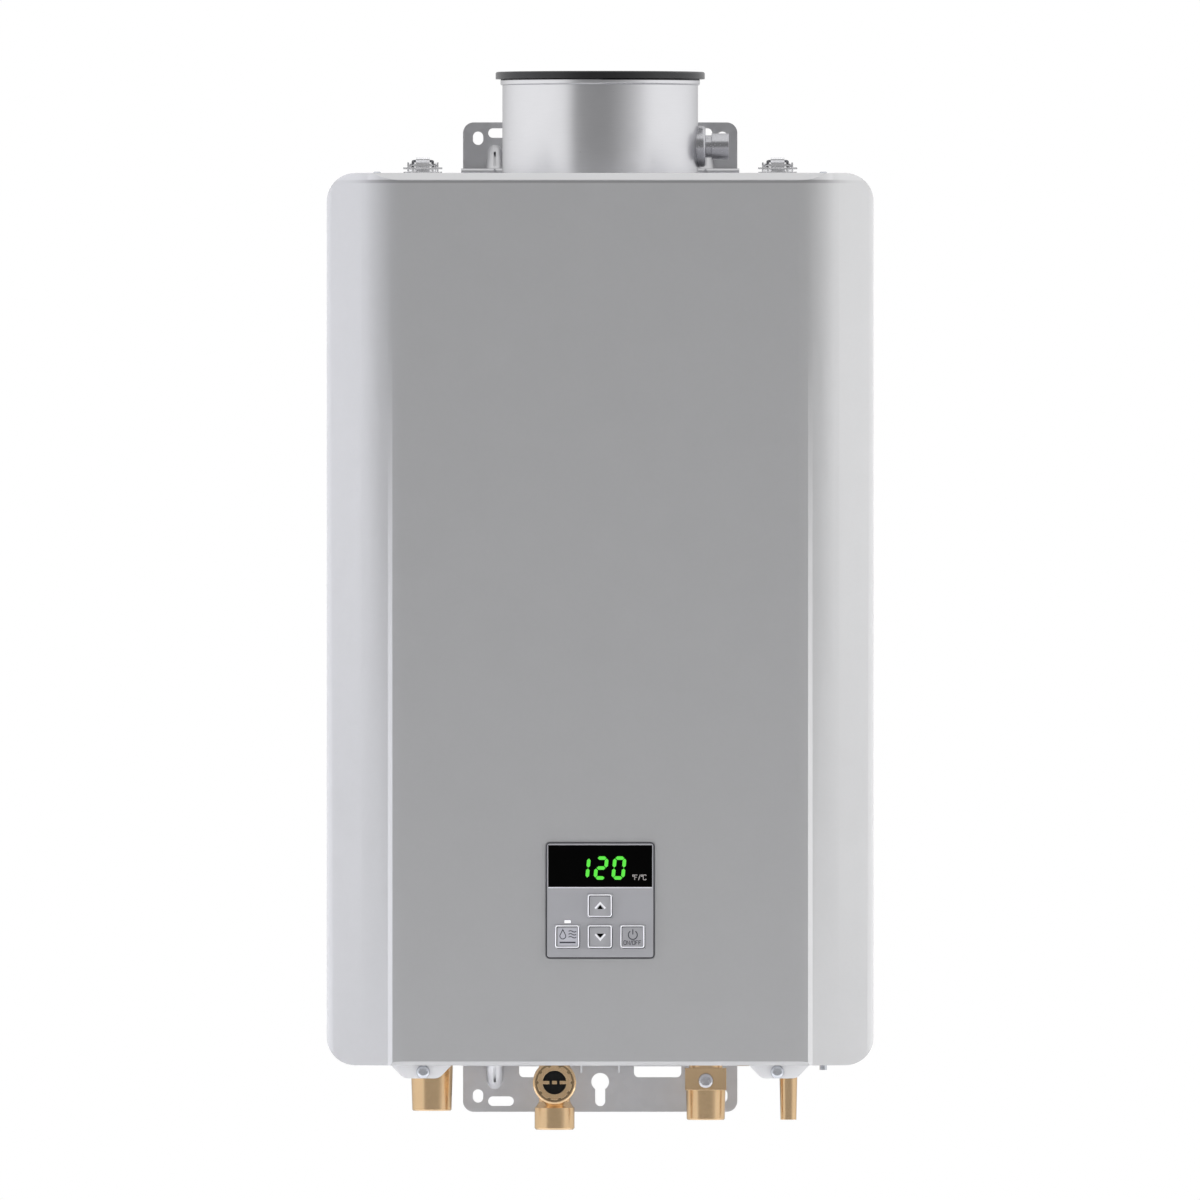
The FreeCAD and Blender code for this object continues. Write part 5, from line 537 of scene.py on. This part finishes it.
def stroke(name, points, width, front, thick, material, closed=False):
    """Flat pen stroke in the x-z plane: a line of points widened both ways across its direction.

    At each point the offset runs along the mean of the two neighbouring normals,
    divided by the cosine of half the turn, so that the width stays even. The
    cosine is held over 0.4, so that a sharp corner stays short.
    """
    line = np.asarray(points, float)
    ahead = np.roll(line, -1, axis=0) - line
    behind = line - np.roll(line, 1, axis=0)
    if not closed:
        ahead[-1] = behind[-1]
        behind[0] = ahead[0]
    ahead /= np.linalg.norm(ahead, axis=1, keepdims=True)
    behind /= np.linalg.norm(behind, axis=1, keepdims=True)
    normal = np.column_stack([-(ahead + behind)[:, 1], (ahead + behind)[:, 0]])
    normal /= np.linalg.norm(normal, axis=1, keepdims=True)
    cosine = np.clip(np.einsum("ij,ij->i", normal, np.column_stack([-ahead[:, 1], ahead[:, 0]])), 0.4, 1)
    shift = normal * (width / 2 / cosine)[:, None]
    left, right = line + shift, line - shift
    corners = [(left, front + thick), (left, front), (right, front), (right, front + thick)]
    sections = np.stack([at_depth(flat, y) for flat, y in corners], axis=1)
    return lofted(name, sections, material, closed)


def rounded_box(half, corner, steps=6):
    """Outline of a rectangle with quarter-circle corners, anticlockwise from the lower right.

    Each corner's points lie a radius away from its centre, at even angles.
    """
    angles = np.linspace(0, np.pi / 2, steps + 1)
    spots = [(1, -1, -np.pi / 2), (1, 1, 0), (-1, 1, np.pi / 2), (-1, -1, np.pi)]
    parts = []
    for sx, sz, turn in spots:
        arc = np.column_stack([np.cos(angles + turn), np.sin(angles + turn)]) * corner
        parts.append(arc + np.array([sx, sz]) * (half - corner))
    return np.concatenate(parts)


def arc_points(centre, radius, start, end, steps):
    """Points of an arc: the radius times each angle's cosine and sine, with the angles in degrees."""
    angles = np.radians(np.linspace(start, end, steps))
    return np.column_stack([np.cos(angles), np.sin(angles)]) * radius + centre


# Controller markings

SEGMENTS = {
    "0": "abcdef",
    "1": "bc",
    "2": "abged",
    "3": "abgcd",
    "4": "fgbc",
    "5": "afgcd",
    "6": "afgedc",
    "7": "abc",
    "8": "abcdefg",
    "9": "abcdfg",
}

# Pen lines of each mark as parts of its height, each with whether it closes on itself
LETTERS = {
    "O": [([(0.1, 0), (0.5, 0), (0.6, 0.15), (0.6, 0.85), (0.5, 1), (0.1, 1), (0, 0.85), (0, 0.15)], True)],
    "N": [([(0, 0), (0, 1), (0.6, 0), (0.6, 1)], False)],
    "F": [([(0, 0), (0, 1), (0.55, 1)], False), ([(0, 0.52), (0.42, 0.52)], False)],
    "C": [([(0.6, 0.8), (0.5, 1), (0.12, 1), (0, 0.85), (0, 0.15), (0.12, 0), (0.5, 0), (0.6, 0.2)], False)],
    "/": [([(0, -0.05), (0.35, 1.05)], False)],
    "o": [([(0.05, 0.72), (0.25, 0.72), (0.3, 0.86), (0.25, 1), (0.05, 1), (0, 0.86)], True)],
}
ADVANCE = {"O": 0.85, "N": 0.85, "F": 0.78, "C": 0.8, "/": 0.55, "o": 0.42}


def segment_line(letter, wide, high):
    """End points of a seven-segment bar, from the digit's foot and middle."""
    left, right = -wide / 2, wide / 2
    foot, waist, top = 0, high / 2, high
    ends = {
        "a": ((left, top), (right, top)),
        "b": ((right, top), (right, waist)),
        "c": ((right, waist), (right, foot)),
        "d": ((left, foot), (right, foot)),
        "e": ((left, foot), (left, waist)),
        "f": ((left, waist), (left, top)),
        "g": ((left, waist), (right, waist)),
    }
    return np.array(ends[letter])


def lit_bar(name, ends, width, front, material):
    """Lit segment: a bar with pointed ends, its outline a hexagon along the line between two points."""
    start, end = ends
    along = (end - start) / np.linalg.norm(end - start)
    across = np.array([-along[1], along[0]]) * width / 2
    back = along * width / 2
    gap = along * width * 0.12
    outline = [start + gap, start + gap + back + across, end - gap - back + across, end - gap]
    outline += [end - gap - back - across, start + gap + back - across]
    return lofted(name, bar_rings(outline, front, thick=0.16 * MM, inset=0.12 * MM), material)


def digits(look, material, front):
    """Lit reading, built from the last digit to the first; every point leans by the slant."""
    bars = []
    for place, mark in enumerate(look.reading[::-1]):
        middle = look.last_x - place * look.digit_step
        for letter in SEGMENTS.get(mark, ""):
            ends = segment_line(letter, look.digit_wide - look.segment, look.digit_high - look.segment)
            ends = ends + [0, look.segment / 2]
            ends = ends + np.column_stack([ends[:, 1] * math.tan(look.slant), np.zeros(2)])
            ends = ends + [middle, CONTROL_Z + look.digit_low]
            bars.append(lit_bar("lit_bar", ends, look.segment, front, material))
    return joined("lit_digits", bars)


def legend(name, text, middle, high, front, material):
    """Small lettering of single pen strokes, centred on a point."""
    pen = high * 0.16
    x = middle[0] - sum(ADVANCE[mark] for mark in text) * high / 2
    pieces = []
    for mark in text:
        for points, closed in LETTERS[mark]:
            spots = np.array(points) * high + [x, middle[1] - high / 2]
            pieces.append(stroke(name, spots, pen, front, PRINT_THICK, material, closed))
        x += ADVANCE[mark] * high
    return joined(name, pieces)


# Operators

# Every finish by its slot, filled by the first operator
MATERIALS = {}

# Nodes whose finish differs from the rest of their slot
OWN_FINISH = {
    "strainer_cap": "cap_brass",
    "cable_gland": "gland_brass",
    "latch_bail_left": "latch_wire",
    "latch_bail_right": "latch_wire",
}


class HEATER_OT_finishes(bpy.types.Operator):
    """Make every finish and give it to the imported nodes"""

    bl_idname = "heater.finishes"
    bl_label = "Finishes"

    def execute(self, context):
        MATERIALS.update(make_materials(context.scene.heater_finish))
        for part in frame["record"]["subparts"]:
            held = frame["nodes"][part["node"]].data.materials
            held.clear()
            held.append(MATERIALS[OWN_FINISH.get(part["node"], part["material_slot"])])
        return {"FINISHED"}


class HEATER_OT_display(bpy.types.Operator):
    """Light the reading, print the unit marks and draw the controller's fine lines"""

    bl_idname = "heater.display"
    bl_label = "Display"

    def execute(self, context):
        look = context.scene.heater_display
        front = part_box("display_window")[0].y - WINDOW_GAP
        MATERIALS["glow"] = glow_material("lit_segments", look.glow_colour, look.glow)
        lit = digits(look, MATERIALS["glow"], front)
        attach(lit, "heater")
        spot = (look.unit_x, CONTROL_Z + look.unit_z)
        unit = legend("unit_marks", "oF/oC", spot, look.unit_high, front, MATERIALS["print"])
        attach(unit, "heater")
        self.frame_lines()
        return {"FINISHED"}

    def frame_lines(self):
        """Painted shade as a dark line round the controller, and a painted highlight as a bright line along
        the foot of its window.
        """
        low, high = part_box("display_window")
        dark, pale = MATERIALS["seam"], MATERIALS["pale"]
        thick, under, seam_corner = 0.2 * MM, 0.5 * MM, 2.1 * MM
        # Painted shade: a dark stroke round the plate, where the gap to the cover lies in shade
        path = rounded_box(PLATE_HALF - SEAM_WIDE / 2, seam_corner) + [0, CONTROL_Z]
        seam = stroke("controller_seam_shade", path, SEAM_WIDE, FACE - 0.08 * MM, thick, dark, closed=True)
        # Painted highlight: a pale stroke along the bevel at the foot of the window
        foot = np.array([(low.x, low.z - under), (high.x, low.z - under)])
        edge = stroke("window_edge_highlight", foot, 0.45 * MM, FACE - 0.1 * MM, thick, pale)
        for piece in (seam, edge):
            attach(piece, "heater")


class HEATER_OT_buttons(bpy.types.Operator):
    """Shape the four buttons with their embossed rims and legends"""

    bl_idname = "heater.buttons"
    bl_label = "Buttons"

    def execute(self, context):
        for kind in ("up", "down", "select", "power"):
            node, body = f"button_{kind}", f"{kind}_button"
            low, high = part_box(node)
            middle = np.array([(low.x + high.x) / 2, (low.z + high.z) / 2])
            floor = low.y + LINE_ROOM
            cap = self.cap(node, middle, floor)
            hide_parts(node)
            # Painted light on each key's bead: the pale rim, set towards the upper left, is a painted
            # highlight, and the dark line set towards the lower right is painted shade
            lit_side, dark_side = np.array([-0.25, 0.2]) * MM, np.array([0.3, -0.35]) * MM
            rim = self.bead("rim", middle + lit_side, 0.7 * MM, floor, 0.5 * MM, "pale")
            shade = self.bead("shade", middle + dark_side, 0.6 * MM, floor, 0.25 * MM, "seam")
            pieces = [("rim", rim), ("shade", shade)]
            pieces += self.legend_of(kind, middle, floor - PRINT_THICK)
            for group in sorted({group for group, _ in pieces}):
                mark = joined(f"{node}_{group}", [piece for held, piece in pieces if held == group])
                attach(mark, body)
            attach(cap, body)
        return {"FINISHED"}

    def cap(self, node, middle, floor):
        """Key: its outline carried forward to an edge rounded by a quarter circle, with a flat face."""
        soft, back, waist = 0.3 * MM, 6.2 * MM, 2 * MM
        turns = np.linspace(0, np.pi / 2, 5)
        insets = np.concatenate([[0, 0], soft * (1 - np.cos(turns))])
        levels = floor + np.concatenate([[back, waist], soft * (1 - np.sin(turns))])
        outlines = [rounded_box(KEY_HALF - inset, 0.5 * MM) + middle for inset in insets]
        rings = [at_depth(outline, level) for outline, level in zip(outlines, levels)]
        return lofted(node + "_cap", rings, MATERIALS["button_plastic"])

    def bead(self, name, middle, width, floor, high, finish_name):
        """Raised line of half-round section, carried along a rectangle with round corners.

        A point of the section at the turn t lies half the width times cos t across
        the path, and the height times sin t ahead of a line sunk 0.05 mm in the key.
        """
        sunk = 0.05 * MM
        turns = np.linspace(0, np.pi, 7)
        across = np.cos(turns) * width / 2
        levels = floor + sunk - np.sin(turns) * (high + sunk)
        outlines = [rounded_box(LINE_HALF + shift, LINE_CORNER + shift) + middle for shift in across]
        sections = np.stack([at_depth(outline, level) for outline, level in zip(outlines, levels)], axis=1)
        return lofted(name, sections, MATERIALS[finish_name], closed=True)

    def legend_of(self, kind, middle, front):
        """Strokes of one button's legend, as (group, piece) pairs; points are in mm from its middle."""
        ink = MATERIALS["ink"]
        if kind == "up":
            arms, peak = [(-3.3, -1.6), (0, 2.0), (3.3, -1.6)], [(-1.9, -2.0), (0, 0.7), (1.9, -2.0)]
            return self.arrow(arms, peak, middle, front)
        if kind == "down":
            arms, peak = [(-3.2, 1.8), (0, -1.8), (3.2, 1.8)], [(0, -0.5), (-2.4, 2.1), (2.4, 2.1)]
            return self.arrow(arms, peak, middle, front)
        if kind == "power":
            pen = 0.65 * MM
            ring = arc_points(middle + [0, 1.3 * MM], 2.9 * MM, 125, 415, 28)
            bar = np.array([(0, 1.6), (0, 5.0)]) * MM + middle
            pieces = [stroke("ring", ring, pen, front, PRINT_THICK, ink)]
            pieces.append(stroke("bar", bar, pen, front, PRINT_THICK, ink))
            pieces.append(legend("word", "ON/OFF", middle - [0, 3.75 * MM], 2.5 * MM, front, ink))
            return [("legend", piece) for piece in pieces]
        return self.water_mark(middle, front, ink)

    def arrow(self, arms, peak, middle, front):
        """Pale chevron of two arms, with a dark wedge in its hollow."""
        arms, peak = np.array(arms) * MM + middle, np.array(peak) * MM + middle
        rings = bar_rings(peak, front - 0.06 * MM, thick=0.1 * MM, inset=0.02 * MM)
        wedge = lofted("wedge", rings, MATERIALS["display_glass"])
        chevron = stroke("chevron", arms, 1.2 * MM, front, PRINT_THICK, MATERIALS["pale"])
        return [("chevron", chevron), ("wedge", wedge)]

    def water_mark(self, middle, front, ink):
        """Drop beside three waves over a base line, on a paler field.

        The drop is an arc of radius 1.9 mm drawn up to a point. Each wave is one
        turn of a sine, 5 mm long and 0.45 mm high, and they stand 1.9 mm apart.
        """
        pen = 0.6 * MM
        field = rounded_box(np.array([6.3, 5.7]) * MM, 0.5 * MM) + middle
        rings = bar_rings(field, front + 0.04 * MM, thick=0.06 * MM, inset=0.1 * MM)
        film = lofted("film", rings, MATERIALS["film"])
        tear = np.concatenate([arc_points((0, 0), 1.9, -215, 35, 22), [(0, 4.2)]]) + [-3.1, 0.6]
        pieces = [stroke("drop", tear * MM + middle, pen, front, PRINT_THICK, ink, True)]
        turn = np.linspace(0, 1, 18)
        for row in range(3):
            wave = np.column_stack([0.6 + 5 * turn, 3.6 - 1.9 * row + 0.45 * np.sin(2 * np.pi * turn)])
            pieces.append(stroke("wave", wave * MM + middle, pen, front, PRINT_THICK, ink))
        base = np.array([(-5.2, -3.6), (5.2, -3.6)]) * MM + middle
        pieces.append(stroke("foot", base, 1.0 * MM, front, PRINT_THICK, ink))
        return [("film", film)] + [("legend", piece) for piece in pieces]


class HEATER_OT_studio(bpy.types.Operator):
    """Set the camera, the pale floor, the soft lamps and the white room"""

    bl_idname = "heater.studio"
    bl_label = "Studio"

    def execute(self, context):
        look = context.scene.heater_studio
        self.camera(look)
        self.floor(look)
        self.card(look)
        self.lamps(look)
        self.room(look)
        context.scene.view_settings.view_transform = "Standard"
        return {"FINISHED"}

    def camera(self, look):
        """Long lens straight from the front; the lens follows from the picture's width and the distance."""
        lens = bpy.data.cameras.new("camera")
        lens.sensor_width = 36
        lens.lens = lens.sensor_width * look.distance / look.view_wide
        lens.clip_end = look.distance * 2
        camera = bpy.data.objects.new("camera", lens)
        camera.location = (look.view_x, FACE - look.distance, look.view_z)
        camera.rotation_euler = (math.pi / 2, 0, 0)
        bpy.context.scene.collection.objects.link(camera)
        bpy.context.scene.camera = camera

    def plane(self, name, corners, material):
        """A single square of the stage, facing the side from which its corners run anticlockwise."""
        mesh = bpy.data.meshes.new(name)
        mesh.from_pydata(corners, [], [(0, 1, 2, 3)])
        mesh.materials.append(material)
        made = bpy.data.objects.new(name, mesh)
        bpy.context.scene.collection.objects.link(made)
        return made

    def floor(self, look):
        """Square floor that keeps the heater's shadow, and fades out well inside its rim."""
        half, z = look.floor_wide / 2, -look.floor_drop
        paint = finish("matt_white_floor", shades("#f4f4f5", 0.01), 400, rough=(0.8, 0.9))
        fade_out(paint, half * 0.4, half * 0.95)
        self.plane("floor", [(-half, -half, z), (half, -half, z), (half, half, z), (-half, half, z)], paint)

    def card(self, look):
        """Reflection card ahead of the heater, unseen by the camera: it darkens the middle of metals."""
        half, y = look.card_wide / 2, -look.card_ahead
        low, high = look.view_z - look.card_high / 2, look.view_z + look.card_high / 2
        corners = [(-half, y, high), (half, y, high), (half, y, low), (-half, y, low)]
        card = self.plane("reflection_card", corners, self.card_finish(look))
        card.visible_camera = False
        card.visible_diffuse = False
        card.visible_shadow = False

    def card_finish(self, look):
        """Translucent card lit from behind: grey in the middle, lighter low down, white past its sides.

        drop runs from 0 at the heater's top to 1 at its foot. The grey ends in a
        soft border on the left and a long ramp on the right, and both stand
        further out the lower they are: 0.9 m and 1.3 m over the whole drop.
        """
        made, tree = empty_material("backlit_card")
        x, _, z = axes_of(tree)
        drop = add(tree, "ShaderNodeMapRange", {"Value": z, "From Min": -0.05, "From Max": -0.6}).outputs[0]
        tones = {"Value": drop, "To Min": look.card_top, "To Max": look.card_low}
        tone = add(tree, "ShaderNodeMapRange", tones)
        left = add(tree, "ShaderNodeMath", {0: drop, 1: 0.9, 2: x}, operation="MULTIPLY_ADD")
        border = {"Value": left.outputs[0], "From Min": -1.6, "From Max": -1.4}
        border = add(tree, "ShaderNodeMapRange", border, interpolation_type="SMOOTHSTEP")
        right = add(tree, "ShaderNodeMath", {0: drop, 1: -1.3, 2: x}, operation="MULTIPLY_ADD")
        ramp = {"Value": right.outputs[0], "From Min": 0.4, "From Max": 3.6, "To Min": 1.0, "To Max": 0.0}
        ramp = add(tree, "ShaderNodeMapRange", ramp)
        grey = both(tree, border.outputs[0], ramp.outputs[0])
        light = add(tree, "ShaderNodeMapRange", {"Value": grey, "To Min": 1.0, "To Max": tone.outputs[0]})
        shine = add(tree, "ShaderNodeEmission", {"Strength": light.outputs[0]})
        add(tree, "ShaderNodeOutputMaterial", {"Surface": shine.outputs[0]})
        return made

    def lamps(self, look):
        """Area lamps: one at each side for the facets, a weak one ahead, one below and one above."""
        middle = Vector((0, -0.1, -0.32))
        # Name, place, size, watts and colour
        spots = [
            ("left_lamp", (-2.2, -0.25, -0.35), (1.2, 2.6), look.side_light, "#f7f8ff"),
            ("right_lamp", (2.2, -0.25, -0.35), (1.2, 2.6), look.side_light, "#ffffff"),
            ("front_lamp", (0.0, -3.2, -0.2), (2.2, 2.2), look.front_light, "#ffffff"),
            ("low_lamp", (0.0, -0.05, -1.15), (2.0, 1.0), look.low_light, "#ffffff"),
            ("top_lamp", (0.0, -0.05, 2.0), (2.0, 1.4), look.top_light, "#ffffff"),
        ]
        for name, place, size, watts, code in spots:
            light = bpy.data.lights.new(name, "AREA")
            light.shape = "RECTANGLE"
            light.size, light.size_y = size
            light.energy = watts
            light.color = to_linear(code)
            lamp = bpy.data.objects.new(name, light)
            lamp.location = place
            lamp.rotation_euler = (middle - Vector(place)).to_track_quat("-Z", "Y").to_euler()
            lamp.visible_glossy = False
            bpy.context.scene.collection.objects.link(lamp)

    def room(self, look):
        """White surroundings: full to the camera, in reflections and through glass, weaker as light."""
        world = bpy.data.worlds.new("white_room")
        world.use_nodes = True
        tree = world.node_tree
        tree.nodes.clear()
        path = add(tree, "ShaderNodeLightPath").outputs
        rays = {0: path["Is Camera Ray"], 1: path["Is Glossy Ray"]}
        seen = add(tree, "ShaderNodeMath", rays, operation="MAXIMUM")
        rays = {0: seen.outputs[0], 1: path["Is Transmission Ray"]}
        shown = add(tree, "ShaderNodeMath", rays, operation="MAXIMUM")
        level = add(tree, "ShaderNodeMapRange", {"Value": shown.outputs[0], "To Min": look.sky})
        white = (*to_linear("#ffffff"), 1)
        light = add(tree, "ShaderNodeBackground", {"Color": white, "Strength": level.outputs[0]})
        add(tree, "ShaderNodeOutputWorld", {"Surface": light.outputs[0]})
        bpy.context.scene.world = world


class HEATER_PT_panel(bpy.types.Panel):
    """Sidebar panel with the heater's choices and operators"""

    bl_idname = "HEATER_PT_panel"
    bl_label = "Water heater"
    bl_space_type = "VIEW_3D"
    bl_region_type = "UI"
    bl_category = "Heater"

    def draw(self, context):
        scene = context.scene
        for group in (scene.heater_finish, scene.heater_display, scene.heater_studio):
            box = self.layout.box()
            for name in group.__annotations__:
                box.prop(group, name)
        for operator in STEPS:
            self.layout.operator(operator.bl_idname)


STEPS = (HEATER_OT_finishes, HEATER_OT_display, HEATER_OT_buttons, HEATER_OT_studio)
CLASSES = (HeaterFinish, HeaterDisplay, HeaterStudio, *STEPS, HEATER_PT_panel)


def register():
    """Makes the classes known and gives each scene the three groups of choices."""
    for item in CLASSES:
        bpy.utils.register_class(item)
    bpy.types.Scene.heater_finish = bpy.props.PointerProperty(type=HeaterFinish)
    bpy.types.Scene.heater_display = bpy.props.PointerProperty(type=HeaterDisplay)
    bpy.types.Scene.heater_studio = bpy.props.PointerProperty(type=HeaterStudio)


def unregister():
    """Takes the groups and classes away again."""
    del bpy.types.Scene.heater_finish
    del bpy.types.Scene.heater_display
    del bpy.types.Scene.heater_studio
    for item in reversed(CLASSES):
        bpy.utils.unregister_class(item)


def main():
    """Registers the add-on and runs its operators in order."""
    register()
    for step in STEPS:
        group, name = step.bl_idname.split(".")
        getattr(getattr(bpy.ops, group), name)()


if __name__ == "__main__":
    main()
